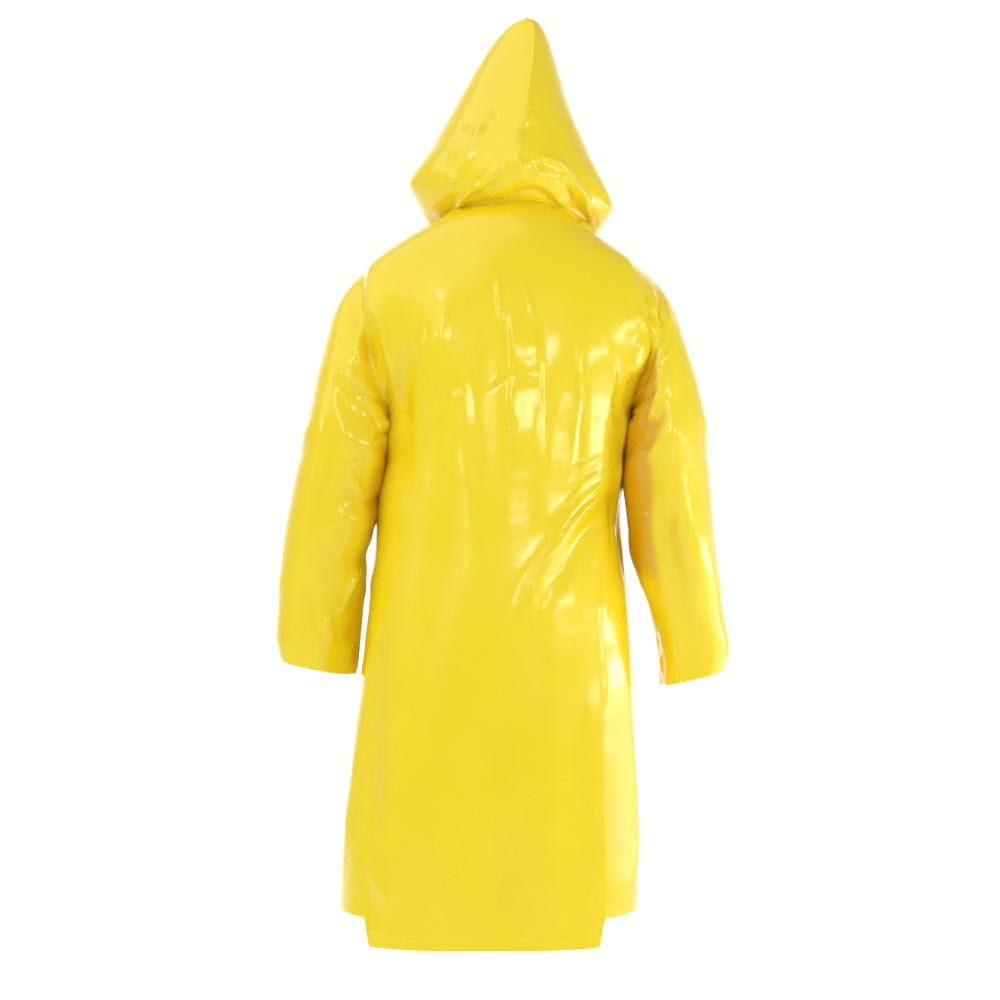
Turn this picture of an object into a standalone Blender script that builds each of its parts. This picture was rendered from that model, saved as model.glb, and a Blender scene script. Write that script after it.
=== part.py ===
"""Hooded raincoat of glossy coated cloth, standing open in the shape it has when worn.

The coat is one skin in the wearer's frame, cut at its seams into back, two fronts, two sleeves
and the two halves of the hood. Every panel is a wall made from its share of that skin.
Axes: +X is the wearer's left, +Y is behind, +Z is up. The origin is inside the neck, between
the shoulders, where the wearer holds the coat. Tables are in millimetres.
"""
import bpy
import numpy as np

MM = 0.001
SAME_PLACE = 0.01         # two points nearer than this are the same point

# Driving dimensions
WALL = 2.0                # thickness of a panel
SEAM_GAP = 0.4            # clear space between two panels at a seam
HEAD_EASE = 1.2           # a sleeve's head is set out by this much, where it meets at an angle
UNDERARM_EASE = 0.8       # and by this much more under the arm, where it folds down on the trunk
NECK_RISE_BACK = 20.0     # the neckline stands this much higher at the back than at its sides
NECK_DROP_FRONT = 60.0    # and falls this much at the centre front
NECK_REACH = 260.0        # the trunk's rings are level again this far down
SHOULDER_LEVEL = -50.0    # where shoulder seam and armhole meet
UNDERARM_LEVEL = -300.0   # where side seam and armhole meet
HEM_LEVEL = -1085.0       # height of the hem at the side seams
TAIL_DROP = 43.0          # the middle of the back hangs this much lower
TAIL_LEFT = 237.0         # where that longer part starts, from the origin
TAIL_RIGHT = -134.0
TAIL_STEP = 10.0          # width of the step in the hem beside it
TAIL_LEVEL = -700.0       # below here the cloth stretches down to the tail
LAP = 32.0                # half of the overlap of the two fronts
LAP_FADE = 40.0           # the right front dips under the left one over this width
LAP_MARGIN = 6.0          # and is fully down this far before the left front's edge
SNAP_LEVELS = (-120.0, -285.0, -450.0, -615.0, -780.0)
SNAP_COLUMN = 2           # column of the left front's lap that carries them
SNAP_RADIUS = 7.5
SNAP_HEIGHT = 2.4
SNAP_SIDES = 16
SNAP_PROFILE = ((1.0, 0.0), (1.0, 0.45), (0.72, 0.85), (0.3, 1.0))  # shares of radius, height

# Grid of the skin
BACK_STRETCHES = (6, 1, 12, 1, 6)     # columns from the side over each step of the hem
BACK_COLUMNS = sum(BACK_STRETCHES)
FRONT_COLUMNS = 11        # from the side seam to the lap
LAP_COLUMNS = 4
FRONT_STRETCHES = (FRONT_COLUMNS, LAP_COLUMNS, FRONT_COLUMNS)
HOOD_FRONT_COLUMNS = 10   # columns of a front's neckline that carry the hood
SKIRT_ROWS = 17
ARMHOLE_ROWS = 9
YOKE_ROWS = 3
SLEEVE_ROWS = 18
HOOD_ROWS = 15
STEADY_REACH = 80.0       # levels above and below over which the side angle is evened out
STEADY_SAMPLES = 7
EDGE_SHARE = 0.05         # share of a panel's width within which its edge draws the columns
TUCK_ROWS = 6             # rows from the neckline to where the hood is widest
TUCK_SHARE = 0.26         # that stretch's share of the hood's height along the cloth

# The trunk: one level ring a row. "corner" is the ring's squareness, 2 being an ellipse.
TRUNK_COLUMNS = ("height", "half_width", "middle_x", "side_y", "back_y", "front_y", "corner")
TRUNK = (
    (0,     112, 4,  0,   85,  -98,  2.0),
    (-12,   131, 11, 0,   95,  -104, 2.05),
    (-30,   157, 19, 0,   106, -111, 2.1),
    (-50,   186, 22, 0,   115, -117, 2.15),
    (-70,   214, 22, 0,   121, -121, 2.2),
    (-95,   238, 20, 0,   126, -124, 2.2),
    (-125,  251, 18, 0,   130, -127, 2.2),
    (-165,  247, 16, 0,   133, -131, 2.25),
    (-200,  235, 14, -3,  135, -134, 2.3),
    (-240,  216, 13, -8,  135, -137, 2.3),
    (-275,  200, 13, -18, 134, -139, 2.25),
    (-300,  193, 13, -29, 134, -140, 2.25),
    (-340,  193, 16, -47, 134, -142, 2.2),
    (-390,  196, 21, -61, 134, -144, 2.2),
    (-445,  197, 28, -66, 135, -146, 2.2),
    (-525,  202, 29, -61, 137, -149, 2.3),
    (-605,  209, 29, -50, 141, -152, 2.45),
    (-765,  223, 34, -35, 149, -158, 2.7),
    (-925,  232, 39, -18, 157, -163, 2.9),
    (-1085, 237, 45, -12, 164, -167, 3.0),
)

# The armhole seam's distance from the trunk's middle, which differs from side to side as worn.
ARMHOLE_COLUMNS = ("height", "back_left", "back_right", "front")
ARMHOLE = (
    (-50,  186, 186, 186),
    (-70,  205, 195, 199),
    (-95,  215, 202, 207),
    (-125, 216, 208, 210),
    (-165, 208, 218, 209),
    (-200, 200, 218, 205),
    (-240, 195, 207, 200),
    (-275, 193, 197, 196),
    (-300, 193, 193, 193),
)

# Sleeves: one ring a row, from its outer to its inner point; bow moves its front and back.
SLEEVE_COLUMNS = ("outer_x", "outer_z", "inner_x", "inner_z", "half_depth", "middle_y", "bow")
SLEEVE_LEFT = (
    (248, -78,  208, -314, 73, -16, 4),
    (284, -124, 207, -332, 75, -8,  2),
    (309, -200, 210, -366, 75, -3,  0),
    (331, -300, 216, -408, 72, -3,  0),
    (353, -395, 224, -455, 70, -8,  0),
    (375, -505, 236, -530, 68, -18, 0),
    (386, -612, 248, -618, 66, -32, 0),
    (392, -676, 256, -706, 64, -40, 0),
    (387, -703, 260, -727, 63, -42, 0),
)
SLEEVE_RIGHT = (
    (-208, -78,  -188, -314, 75, -10, -22),
    (-243, -122, -181, -332, 75, -8,  -8),
    (-272, -205, -175, -368, 75, -3,  0),
    (-296, -300, -172, -412, 72, -3,  0),
    (-305, -385, -174, -458, 70, -8,  0),
    (-321, -525, -182, -535, 68, -18, 0),
    (-334, -628, -211, -618, 65, -32, 0),
    (-348, -684, -226, -690, 60, -40, 0),
    (-343, -716, -229, -744, 59, -42, 0),
)

# Hood: a row runs from the ridge at the back round the side to the edge of the face opening.
HOOD_COLUMNS = ("ridge_x", "ridge_y", "ridge_z", "left_x", "left_z", "right_x", "right_z",
                "side_y", "edge_x", "edge_right_x", "edge_y", "edge_z", "roundness")
HOOD = (
    (6,   104, 31,  133, 4,   -124, -4,  -2,  54,  -52,  -104, -46, 2.0),
    (3,   127, 48,  147, 12,  -136, -4,  -5,  88,  -80,  -120, -24, 1.7),
    (-2,  138, 78,  170, 60,  -151, 26,  -12, 132, -116, -120, 30,  1.3),
    (-12, 133, 140, 142, 112, -121, 94,  -8,  116, -98,  -112, 92,  1.18),
    (-22, 115, 210, 103, 176, -88,  168, 0,   80,  -70,  -96,  158, 1.14),
    (-27, 96,  266, 67,  236, -68,  232, 6,   46,  -52,  -76,  212, 1.18),
    (-26, 84,  294, 38,  282, -54,  278, 10,  14,  -44,  -62,  244, 1.4),
    (-19, 76,  306, 15,  301, -41,  300, 18,  -6,  -34,  -54,  256, 1.9),
    (-14, 68,  311, -14, 308, -14,  308, 24,  -14, -14,  -48,  262, 2.0),
)

FOLD_FADE = 0.25          # a fold swells and fades over this share of its route
FOLD_END = 0.35           # share of its height that is left at its ends

# Largest folds of the trunk, where they lie seen from behind or from the front.
# height is + for a ridge and - for a trough; reach is the distance to its foot.
FOLD_COLUMNS = ("side", "height", "reach", "route")
TRUNK_FOLDS = (
    ("back", 7,   26, ((-10, -135), (-12, -270), (-10, -420))),
    ("back", -6,  24, ((54, -150), (56, -310), (46, -500))),
    ("back", 7,   28, ((-106, -185), (-112, -300), (-108, -425))),
    ("back", 5,   24, ((112, -130), (116, -230), (132, -340))),
    ("back", -7,  20, ((-60, -225), (-74, -330), (-76, -420))),
    ("back", 8,   20, ((-150, -405), (-84, -480), (-44, -545), (6, -640))),
    ("back", -7,  18, ((-140, -455), (-92, -508), (-40, -590))),
    ("back", -9,  20, ((188, -180), (182, -290), (176, -430))),
    ("back", 7,   20, ((-176, -130), (-190, -195), (-172, -262))),
    ("back", -7,  26, ((226, -700), (230, -900), (228, -1060))),
    ("back", 6,   30, ((190, -760), (196, -930), (200, -1100))),
    ("back", 6,   30, ((-142, -700), (-140, -900), (-142, -1080))),
    ("back", -6,  30, ((-92, -640), (-88, -840), (-84, -1080))),
    ("back", -4,  40, ((60, -640), (66, -860), (72, -1090))),
    ("front", 9,  26, ((150, -220), (128, -420), (140, -760), (160, -1080))),
    ("front", -8, 26, ((104, -300), (92, -560), (98, -860), (104, -1080))),
    ("front", 7,  28, ((64, -520), (62, -800), (66, -1080))),
    ("front", 9,  26, ((-120, -220), (-104, -430), (-92, -720), (-96, -1080))),
    ("front", -8, 26, ((-70, -330), (-58, -600), (-44, -860), (-40, -1080))),
    ("front", 7,  24, ((-150, -420), (-140, -700), (-148, -1080))),
    ("front", -7, 22, ((190, -430), (196, -700), (212, -1080))),
    ("front", 7,  20, ((176, -270), (120, -330), (60, -360))),
    ("front", 7,  20, ((-156, -265), (-100, -335), (-50, -372))),
)

# Largest folds of a sleeve. A route's points are mm along it and degrees round it from its
# outer side, + towards the back.
SLEEVE_FOLD_COLUMNS = ("height", "reach_along", "reach_around", "route")
SLEEVE_LEFT_FOLDS = (
    (-6, 22, 24, ((95, 150), (120, 110), (150, 60))),
    (6,  24, 24, ((130, 165), (165, 120), (195, 70))),
    (-6, 20, 22, ((235, 190), (262, 150), (280, 100))),
    (5,  22, 22, ((268, 200), (300, 150), (322, 100))),
    (-6, 22, 22, ((350, 215), (372, 160), (386, 110))),
    (6,  60, 16, ((430, 95), (520, 100), (600, 104))),
    (-6, 20, 26, ((250, -60), (276, -110), (300, -160))),
    (6,  22, 26, ((300, -50), (326, -100), (350, -150))),
    (-5, 60, 16, ((420, -80), (520, -90), (610, -92))),
)
SLEEVE_RIGHT_FOLDS = (
    (-6, 22, 24, ((110, 165), (136, 120), (150, 70))),
    (6,  24, 24, ((150, 160), (176, 110), (200, 60))),
    (6,  60, 16, ((150, 62), (300, 66), (470, 58))),
    (-6, 60, 18, ((260, 100), (380, 98), (520, 92))),
    (5,  60, 16, ((430, 120), (520, 126), (600, 128))),
    (-6, 20, 26, ((260, -60), (286, -110), (310, -160))),
    (6,  22, 26, ((312, -50), (340, -100), (362, -150))),
    (-5, 60, 16, ((430, -80), (520, -92), (610, -96))),
)

# Which side edges of a panel's grid, first or last, have an armhole in them.
ARMHOLE_EDGES = {"back": (0, -1), "front_right": (0,), "front_left": (-1,)}

SLEEVE_SEAM_CLEAR = 60.0  # a sleeve's folds start this far from its armhole seam

COAT_YELLOW = (0.93, 0.72, 0.02, 1.0)
COAT_ROUGHNESS = 0.22
SNAP_YELLOW = (0.78, 0.56, 0.02, 1.0)
SNAP_ROUGHNESS = 0.3


def column(rows, names, name):
    """One named column of a table, as an array."""
    place = names.index(name)
    return np.array([row[place] for row in rows], dtype=float)


def smooth_step(value):
    value = np.clip(value, 0.0, 1.0)
    return value * value * (3.0 - 2.0 * value)


def spline(knots, values, at):
    """Smooth curve through values at rising knots; values may be rows of points."""
    slopes = np.gradient(values, knots, axis=0)
    span = np.clip(np.searchsorted(knots, at, side="right") - 1, 0, len(knots) - 2)
    width = knots[span + 1] - knots[span]
    part = (at - knots[span]) / width
    tail = (slice(None),) + (None,) * (values.ndim - 1)
    part, width = part[tail], width[tail]
    return ((2 * part**3 - 3 * part**2 + 1) * values[span]
            + (part**3 - 2 * part**2 + part) * width * slopes[span]
            + (3 * part**2 - 2 * part**3) * values[span + 1]
            + (part**3 - part**2) * width * slopes[span + 1])


def table_at(rows, names, name, height):
    """A table's column at any height, between its rows."""
    heights = column(rows, names, "height")[::-1]
    values = column(rows, names, name)[::-1]
    flat = spline(heights, values, np.ravel(height))
    return flat.reshape(np.shape(height))


def loft(curves, shares):
    """Surface through curves of equal point count, read at shares of its length."""
    curves = np.array(curves)
    steps = np.linalg.norm(np.diff(curves, axis=0), axis=2).mean(axis=1)
    knots = np.concatenate(([0.0], np.cumsum(np.sqrt(steps))))
    lengths = np.concatenate(([0.0], np.cumsum(steps)))
    at = np.interp(np.array(shares) * lengths[-1], lengths, knots)
    return spline(knots, curves, at)


def route_distance(first, second, route, scale_first=1.0, scale_second=1.0):
    """Distance from each place to a route, in reaches, and the share of the route passed."""
    points = np.array(route, dtype=float) / (scale_first, scale_second)
    place = np.stack([first / scale_first, second / scale_second], axis=-1)
    lengths = np.linalg.norm(np.diff(points, axis=0), axis=1)
    starts = np.concatenate(([0.0], np.cumsum(lengths)))
    best = np.full(place.shape[:-1], 1e9)
    passed = np.zeros(place.shape[:-1])
    for start, end, length, before in zip(points[:-1], points[1:], lengths, starts):
        along = np.clip(((place - start) @ (end - start)) / length**2, 0.0, 1.0)
        away = np.linalg.norm(place - (start + along[..., None] * (end - start)), axis=-1)
        nearer = away < best
        best = np.where(nearer, away, best)
        passed = np.where(nearer, (before + along * length) / starts[-1], passed)
    return best, passed


def fold_height(distance, passed, height):
    """A soft ridge or trough, fading out towards both ends of its route."""
    fade = smooth_step(passed / FOLD_FADE) * smooth_step((1.0 - passed) / FOLD_FADE)
    return height * np.exp(-distance**2) * (FOLD_END + (1.0 - FOLD_END) * fade)


def trunk_point(angle, level):
    """The trunk's ring at a level; angle 0 is the wearer's left, 90 the back, in radians."""
    half = table_at(TRUNK, TRUNK_COLUMNS, "half_width", level)
    middle = table_at(TRUNK, TRUNK_COLUMNS, "middle_x", level)
    side_y = table_at(TRUNK, TRUNK_COLUMNS, "side_y", level)
    back_y = table_at(TRUNK, TRUNK_COLUMNS, "back_y", level)
    front_y = table_at(TRUNK, TRUNK_COLUMNS, "front_y", level)
    power = 2.0 / table_at(TRUNK, TRUNK_COLUMNS, "corner", level)
    across = np.sign(np.cos(angle)) * np.abs(np.cos(angle)) ** power
    deep = np.abs(np.sin(angle)) ** power
    reach = np.where(np.sin(angle) > 0, back_y, front_y) - side_y
    x = middle + half * across
    y = side_y + reach * deep
    towards_back = np.sin(angle)
    neck_lift = np.where(towards_back > 0, NECK_RISE_BACK, NECK_DROP_FRONT) * towards_back
    near_neck = smooth_step(1.0 + level / NECK_REACH)
    tail = smooth_step((TAIL_LEFT - x) / TAIL_STEP) * smooth_step((x - TAIL_RIGHT) / TAIL_STEP)
    near_hem = smooth_step((TAIL_LEVEL - level) / (TAIL_LEVEL - HEM_LEVEL))
    z = level + neck_lift * near_neck - TAIL_DROP * tail * near_hem**3 * (towards_back > 0)
    return np.stack([x, y, z], axis=-1)


def ring_angle(distance, level):
    """Angle from the side at which the trunk's ring lies this far from its middle."""
    half = table_at(TRUNK, TRUNK_COLUMNS, "half_width", level)
    corner = table_at(TRUNK, TRUNK_COLUMNS, "corner", level)
    return np.arccos(np.clip(distance / half, -1.0, 1.0) ** (corner / 2.0))


def levels():
    """Heights of the trunk's rows, hem first, with the armhole's rows evenly round its loop."""
    skirt = np.linspace(HEM_LEVEL, UNDERARM_LEVEL, SKIRT_ROWS + 1)[:-1]
    middle = (SHOULDER_LEVEL + UNDERARM_LEVEL) / 2
    half = (SHOULDER_LEVEL - UNDERARM_LEVEL) / 2
    armhole = middle - half * np.cos(np.linspace(0.0, np.pi, ARMHOLE_ROWS + 1))
    yoke = np.linspace(SHOULDER_LEVEL, 0.0, YOKE_ROWS + 1)[1:]
    return np.concatenate([skirt, armhole, yoke])


def side_angle(level, name):
    """Angle between a panel's side edge and the side seam: more than 0 only at the armhole."""
    inside = (level > UNDERARM_LEVEL + SAME_PLACE) & (level < SHOULDER_LEVEL - SAME_PLACE)
    held = np.clip(level, UNDERARM_LEVEL, SHOULDER_LEVEL)
    seam = table_at(ARMHOLE, ARMHOLE_COLUMNS, name, held)
    return np.where(inside, ring_angle(seam, held), 0.0)


def fold_trunk(points, side):
    """The trunk's points with its largest folds raised or sunk, square to the ring."""
    flat = points.copy()
    flat[..., 2] = 0.0
    middle = np.stack([table_at(TRUNK, TRUNK_COLUMNS, "middle_x", points[..., 2].clip(HEM_LEVEL, 0)),
                       np.zeros(points.shape[:-1]), np.zeros(points.shape[:-1])], axis=-1)
    outward = flat - middle
    outward[..., 0] *= 0.5
    outward /= np.linalg.norm(outward, axis=-1)[..., None]
    total = np.zeros(points.shape[:-1])
    for fold in (dict(zip(FOLD_COLUMNS, row)) for row in TRUNK_FOLDS):
        if fold["side"] == side:
            away, passed = route_distance(points[..., 0], points[..., 2], fold["route"],
                                          fold["reach"], fold["reach"])
            total += fold_height(away, passed, fold["height"])
    return points + outward * total[..., None]


def tail_share(x):
    """Share of the back's width, from its left edge, at which its hem reaches x."""
    middle = table_at(TRUNK, TRUNK_COLUMNS, "middle_x", HEM_LEVEL)
    angle = ring_angle(abs(x - middle), HEM_LEVEL)
    return float(angle if x > middle else np.pi - angle) / np.pi


def back_shares():
    """The back's columns, two of them at each step of its hem."""
    left, right = tail_share(TAIL_LEFT), tail_share(TAIL_RIGHT)
    left_inner, right_inner = tail_share(TAIL_LEFT - TAIL_STEP), tail_share(TAIL_RIGHT + TAIL_STEP)
    stops = (0.0, left, left_inner, right_inner, right, 1.0)
    stretches = [np.linspace(stop, following, columns, endpoint=False)
                 for stop, following, columns in zip(stops, stops[1:], BACK_STRETCHES)]
    return np.concatenate(stretches + [[1.0]])


def steady_angle(level, name):
    """The side angle evened out over nearby levels: the columns inside a panel follow it."""
    offsets = np.linspace(-STEADY_REACH, STEADY_REACH, STEADY_SAMPLES)
    return sum(side_angle(level + offset, name) for offset in offsets) / STEADY_SAMPLES


def edge_pull(level, name, share):
    """What draws the columns next to an edge from the evened angle to the seam itself."""
    return (side_angle(level, name) - steady_angle(level, name)) * np.exp(-share / EDGE_SHARE)


def back_panel():
    level = levels()[:, None]
    share = back_shares()[None, :]
    start = steady_angle(level, "back_left")
    end = np.pi - steady_angle(level, "back_right")
    angle = start + (end - start) * share
    angle += edge_pull(level, "back_left", share) - edge_pull(level, "back_right", 1.0 - share)
    return trunk_point(angle, level)


def front_ring():
    """Both fronts' points, from the right side edge over the lap to the left side edge."""
    level = levels()[:, None]
    steady = steady_angle(level, "front")
    lap = ring_angle(LAP, level)
    stops = (np.pi + steady, np.pi + lap, 2 * np.pi - lap, 2 * np.pi - steady)
    angles = [stop + (following - stop) * np.arange(columns) / columns
              for stop, following, columns in zip(stops, stops[1:], FRONT_STRETCHES)]
    angle = np.concatenate(angles + [stops[-1]], axis=1)
    share = np.linspace(0.0, 1.0, angle.shape[1])
    angle += edge_pull(level, "front", share) - edge_pull(level, "front", 1.0 - share)
    return trunk_point(angle, level)


def under_lap(points):
    """The right front, dipping inwards under the left one by a wall and a seam's gap."""
    middle = table_at(TRUNK, TRUNK_COLUMNS, "middle_x", levels()[:, None])
    covered = smooth_step((points[..., 0] - middle + LAP + LAP_MARGIN + LAP_FADE) / LAP_FADE)
    dipped = points.copy()
    dipped[..., 1] += covered * (WALL + 2 * SEAM_GAP)
    return dipped


def armhole_loop(back, front, back_edge, front_edge):
    """The armhole: from the shoulder down the back's edge, and up the front's."""
    rows = slice(SKIRT_ROWS, SKIRT_ROWS + ARMHOLE_ROWS + 1)
    down = back[rows, back_edge][::-1]
    up = front[rows, front_edge]
    return np.concatenate([down, up[1:]])


def sleeve_ring(row, count):
    """Ring of a sleeve, from its outer point round the back to its inner point and on."""
    cell = dict(zip(SLEEVE_COLUMNS, row))
    turn = np.linspace(0.0, 2 * np.pi, count)
    outward = (1 + np.cos(turn)) / 2
    x = cell["inner_x"] + (cell["outer_x"] - cell["inner_x"]) * outward
    x += cell["bow"] * np.sin(turn) ** 2
    y = cell["middle_y"] + cell["half_depth"] * np.sin(turn)
    z = cell["inner_z"] + (cell["outer_z"] - cell["inner_z"]) * outward
    return np.stack([x, y, z], axis=-1)


def fold_sleeve(points, folds):
    """The sleeve's points with its largest folds, by length along it and degrees round it."""
    centre = points[:, :-1].mean(axis=1)[:, None, :]
    steps = np.linalg.norm(np.diff(centre[:, 0], axis=0), axis=1)
    along = np.concatenate(([0.0], np.cumsum(steps)))[:, None] * np.ones(points.shape[1])
    degrees = np.linspace(0.0, 360.0, points.shape[1])[None, :] * np.ones((len(points), 1))
    total = np.zeros(points.shape[:-1])
    for fold in (dict(zip(SLEEVE_FOLD_COLUMNS, row)) for row in folds):
        for turn in (0.0, 360.0):
            away, passed = route_distance(along, degrees - turn, fold["route"],
                                          fold["reach_along"], fold["reach_around"])
            total += fold_height(away, passed, fold["height"])
    outward = points - centre
    outward /= np.linalg.norm(outward, axis=-1)[..., None]
    clear_of_seam = smooth_step(along / SLEEVE_SEAM_CLEAR)
    return points + outward * (total * clear_of_seam)[..., None]


def sleeve_panel(loop, rows, folds):
    curves = [loop] + [sleeve_ring(row, len(loop)) for row in rows]
    points = loft(curves, np.linspace(0.0, 1.0, SLEEVE_ROWS + 1))
    return fold_sleeve(points, folds)


def hood_half_row(cell, side):
    """Row of one half of the hood, from the ridge to the edge of the face opening."""
    side_x, side_z = cell[side + "_x"], cell[side + "_z"]
    edge_x = cell["edge_x"] if side == "left" else cell["edge_right_x"]
    turn = np.linspace(np.pi / 2, 0.0, BACK_COLUMNS // 2 + 1)
    x = cell["ridge_x"] + (side_x - cell["ridge_x"]) * np.cos(turn) ** (2 / cell["roundness"])
    y = cell["side_y"] + (cell["ridge_y"] - cell["side_y"]) * np.sin(turn)
    z = side_z + (cell["ridge_z"] - side_z) * np.sin(turn)
    behind = np.stack([x, y, z], axis=-1)
    turn = np.linspace(0.0, np.pi / 2, HOOD_FRONT_COLUMNS + 1)[1:]
    x = edge_x + (side_x - edge_x) * np.cos(turn)
    y = cell["side_y"] + (cell["edge_y"] - cell["side_y"]) * np.sin(turn)
    z = side_z + (cell["edge_z"] - side_z) * np.sin(turn)
    ahead = np.stack([x, y, z], axis=-1)
    return np.concatenate([behind, ahead])


def hood_row(row):
    """Whole row, from the left edge of the face opening round the back to the right one."""
    cell = dict(zip(HOOD_COLUMNS, row))
    left = hood_half_row(cell, "left")
    right = hood_half_row(cell, "right")
    return np.concatenate([left[::-1], right[1:]])


def hood_grid(neckline):
    low = np.linspace(0.0, TUCK_SHARE, TUCK_ROWS + 1)
    high = np.linspace(TUCK_SHARE, 1.0, HOOD_ROWS - TUCK_ROWS + 1)[1:]
    return loft([neckline] + [hood_row(row) for row in HOOD], np.concatenate([low, high]))


def coat_panels():
    """Every panel's grid of points; rows go up the coat, columns so that faces look out."""
    back = fold_trunk(back_panel(), "back")
    front = fold_trunk(front_ring(), "front")
    at_armhole = side_angle(levels(), "front")[:, None] > 0
    front[:, 0] = np.where(at_armhole, front[:, 0], back[:, -1])
    front[:, -1] = np.where(at_armhole, front[:, -1], back[:, 0])
    right = under_lap(front[:, :-FRONT_COLUMNS])
    left = front[:, FRONT_COLUMNS:]
    sleeve_left = sleeve_panel(armhole_loop(back, left, 0, -1), SLEEVE_LEFT, SLEEVE_LEFT_FOLDS)
    sleeve_right = sleeve_panel(armhole_loop(back, right, -1, 0), SLEEVE_RIGHT, SLEEVE_RIGHT_FOLDS)
    neckline = np.concatenate([left[-1, -HOOD_FRONT_COLUMNS - 1:-1], back[-1],
                               right[-1, 1:HOOD_FRONT_COLUMNS + 1]])
    hood = hood_grid(neckline)
    ridge = HOOD_FRONT_COLUMNS + BACK_COLUMNS // 2
    return {
        "back": back,
        "front_right": right,
        "front_left": left,
        "sleeve_left": sleeve_left[:, ::-1],
        "sleeve_right": sleeve_right,
        "hood_left": hood[:, :ridge + 1],
        "hood_right": hood[:, ridge:],
    }


def place_key(point):
    """A name for a place, the same for all points that share it."""
    return tuple(np.round(point / SAME_PLACE).astype(int))


def shared_normals(panels):
    """Outward normals, averaged over all panels that share a point, so seams are mitred."""
    sums = {}
    for points in panels.values():
        across = points[:-1, 1:] - points[1:, :-1]
        diagonal = points[1:, 1:] - points[:-1, :-1]
        faces = np.cross(across, diagonal)
        for row in range(faces.shape[0]):
            for place in range(faces.shape[1]):
                for corner in ((row, place), (row, place + 1), (row + 1, place), (row + 1, place + 1)):
                    key = place_key(points[corner])
                    sums[key] = sums.get(key, 0.0) + faces[row, place]
    normals = {}
    for name, points in panels.items():
        found = np.array([[sums[place_key(point)] for point in row] for row in points])
        normals[name] = found / np.linalg.norm(found, axis=-1)[..., None]
    return normals


def drawn_in(points, closed):
    """A grid with its outermost points moved in by half of the seam's gap."""
    moved = points.copy()
    edges = [(0, 1), (-1, -2)]
    for edge, inner in edges:
        step = points[inner] - points[edge]
        moved[edge] += step / np.linalg.norm(step, axis=-1)[..., None] * SEAM_GAP / 2
    if not closed:
        for edge, inner in edges:
            step = points[:, inner] - points[:, edge]
            moved[:, edge] += step / np.linalg.norm(step, axis=-1)[..., None] * SEAM_GAP / 2
    return moved


def kept_aside(name, outer, inner):
    """The inner points of a half of the hood, kept on their own side of its ridge."""
    kept = inner.copy()
    if name == "hood_left":
        kept[..., 0] = np.maximum(kept[..., 0], outer[:, -1:, 0])
    if name == "hood_right":
        kept[..., 0] = np.minimum(kept[..., 0], outer[:, :1, 0])
    return kept


def wall_mesh(name, outer, inner, closed):
    """Closed mesh between two equal grids; a closed grid's last column is its first."""
    rows, places = outer.shape[:2]
    if closed:
        places -= 1
        outer, inner = outer[:, :-1], inner[:, :-1]
    points = np.concatenate([outer.reshape(-1, 3), inner.reshape(-1, 3)]) * MM
    behind = rows * places
    spans = places if closed else places - 1

    def at(row, place):
        return row * places + place % places

    faces = []
    for row in range(rows - 1):
        for place in range(spans):
            ring = [at(row, place), at(row, place + 1), at(row + 1, place + 1), at(row + 1, place)]
            faces.append(ring)
            faces.append([corner + behind for corner in reversed(ring)])
    for place in range(spans):
        low = [at(0, place + 1), at(0, place)]
        high = [at(rows - 1, place), at(rows - 1, place + 1)]
        faces.append(low + [low[1] + behind, low[0] + behind])
        faces.append(high + [high[1] + behind, high[0] + behind])
    if not closed:
        for row in range(rows - 1):
            first = [at(row, 0), at(row + 1, 0)]
            last = [at(row + 1, places - 1), at(row, places - 1)]
            faces.append(first + [first[1] + behind, first[0] + behind])
            faces.append(last + [last[1] + behind, last[0] + behind])
    mesh = bpy.data.meshes.new(name)
    mesh.from_pydata(points.tolist(), [], faces)
    mesh.validate()
    return mesh


def material(name, colour, roughness):
    made = bpy.data.materials.new(name)
    made.use_nodes = True
    shader = made.node_tree.nodes["Principled BSDF"]
    shader.inputs["Base Color"].default_value = colour
    shader.inputs["Roughness"].default_value = roughness
    shader.inputs["Metallic"].default_value = 0.0
    made.diffuse_color = colour
    return made


def add_object(name, mesh, colour, roughness):
    mesh.materials.append(material(name + "_finish", colour, roughness))
    mesh.shade_smooth()
    made = bpy.data.objects.new(name, mesh)
    bpy.context.scene.collection.objects.link(made)
    return made


def cleared_at_armhole(name, points):
    """A trunk panel's grid with its armhole opened a little, a sleeve's with its head set out."""
    moved = points.copy()
    middle = (0.0, 0.0, (SHOULDER_LEVEL + UNDERARM_LEVEL) / 2)
    if name.startswith("sleeve"):
        low = smooth_step((middle[2] - points[0, :, 2]) / (middle[2] - UNDERARM_LEVEL))
        outwards = 1.0 if name == "sleeve_left" else -1.0
        moved[0, :, 0] += outwards * (HEAD_EASE + UNDERARM_EASE * low)
    rows = slice(SKIRT_ROWS, SKIRT_ROWS + ARMHOLE_ROWS + 1)
    for edge in ARMHOLE_EDGES.get(name, ()):
        away = (points[rows, edge] - middle) * (0.0, 1.0, 1.0)
        moved[rows, edge] += away / np.linalg.norm(away, axis=-1)[:, None] * SEAM_GAP
    return moved


def add_panels():
    panels = coat_panels()
    normals = shared_normals(panels)
    for name, points in panels.items():
        closed = name.startswith("sleeve")
        inside = kept_aside(name, points, points - WALL * normals[name])
        outer = cleared_at_armhole(name, drawn_in(points, closed))
        inner = cleared_at_armhole(name, drawn_in(inside, closed))
        add_object(name, wall_mesh(name, outer, inner, closed), COAT_YELLOW, COAT_ROUGHNESS)
    return panels, normals


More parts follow.
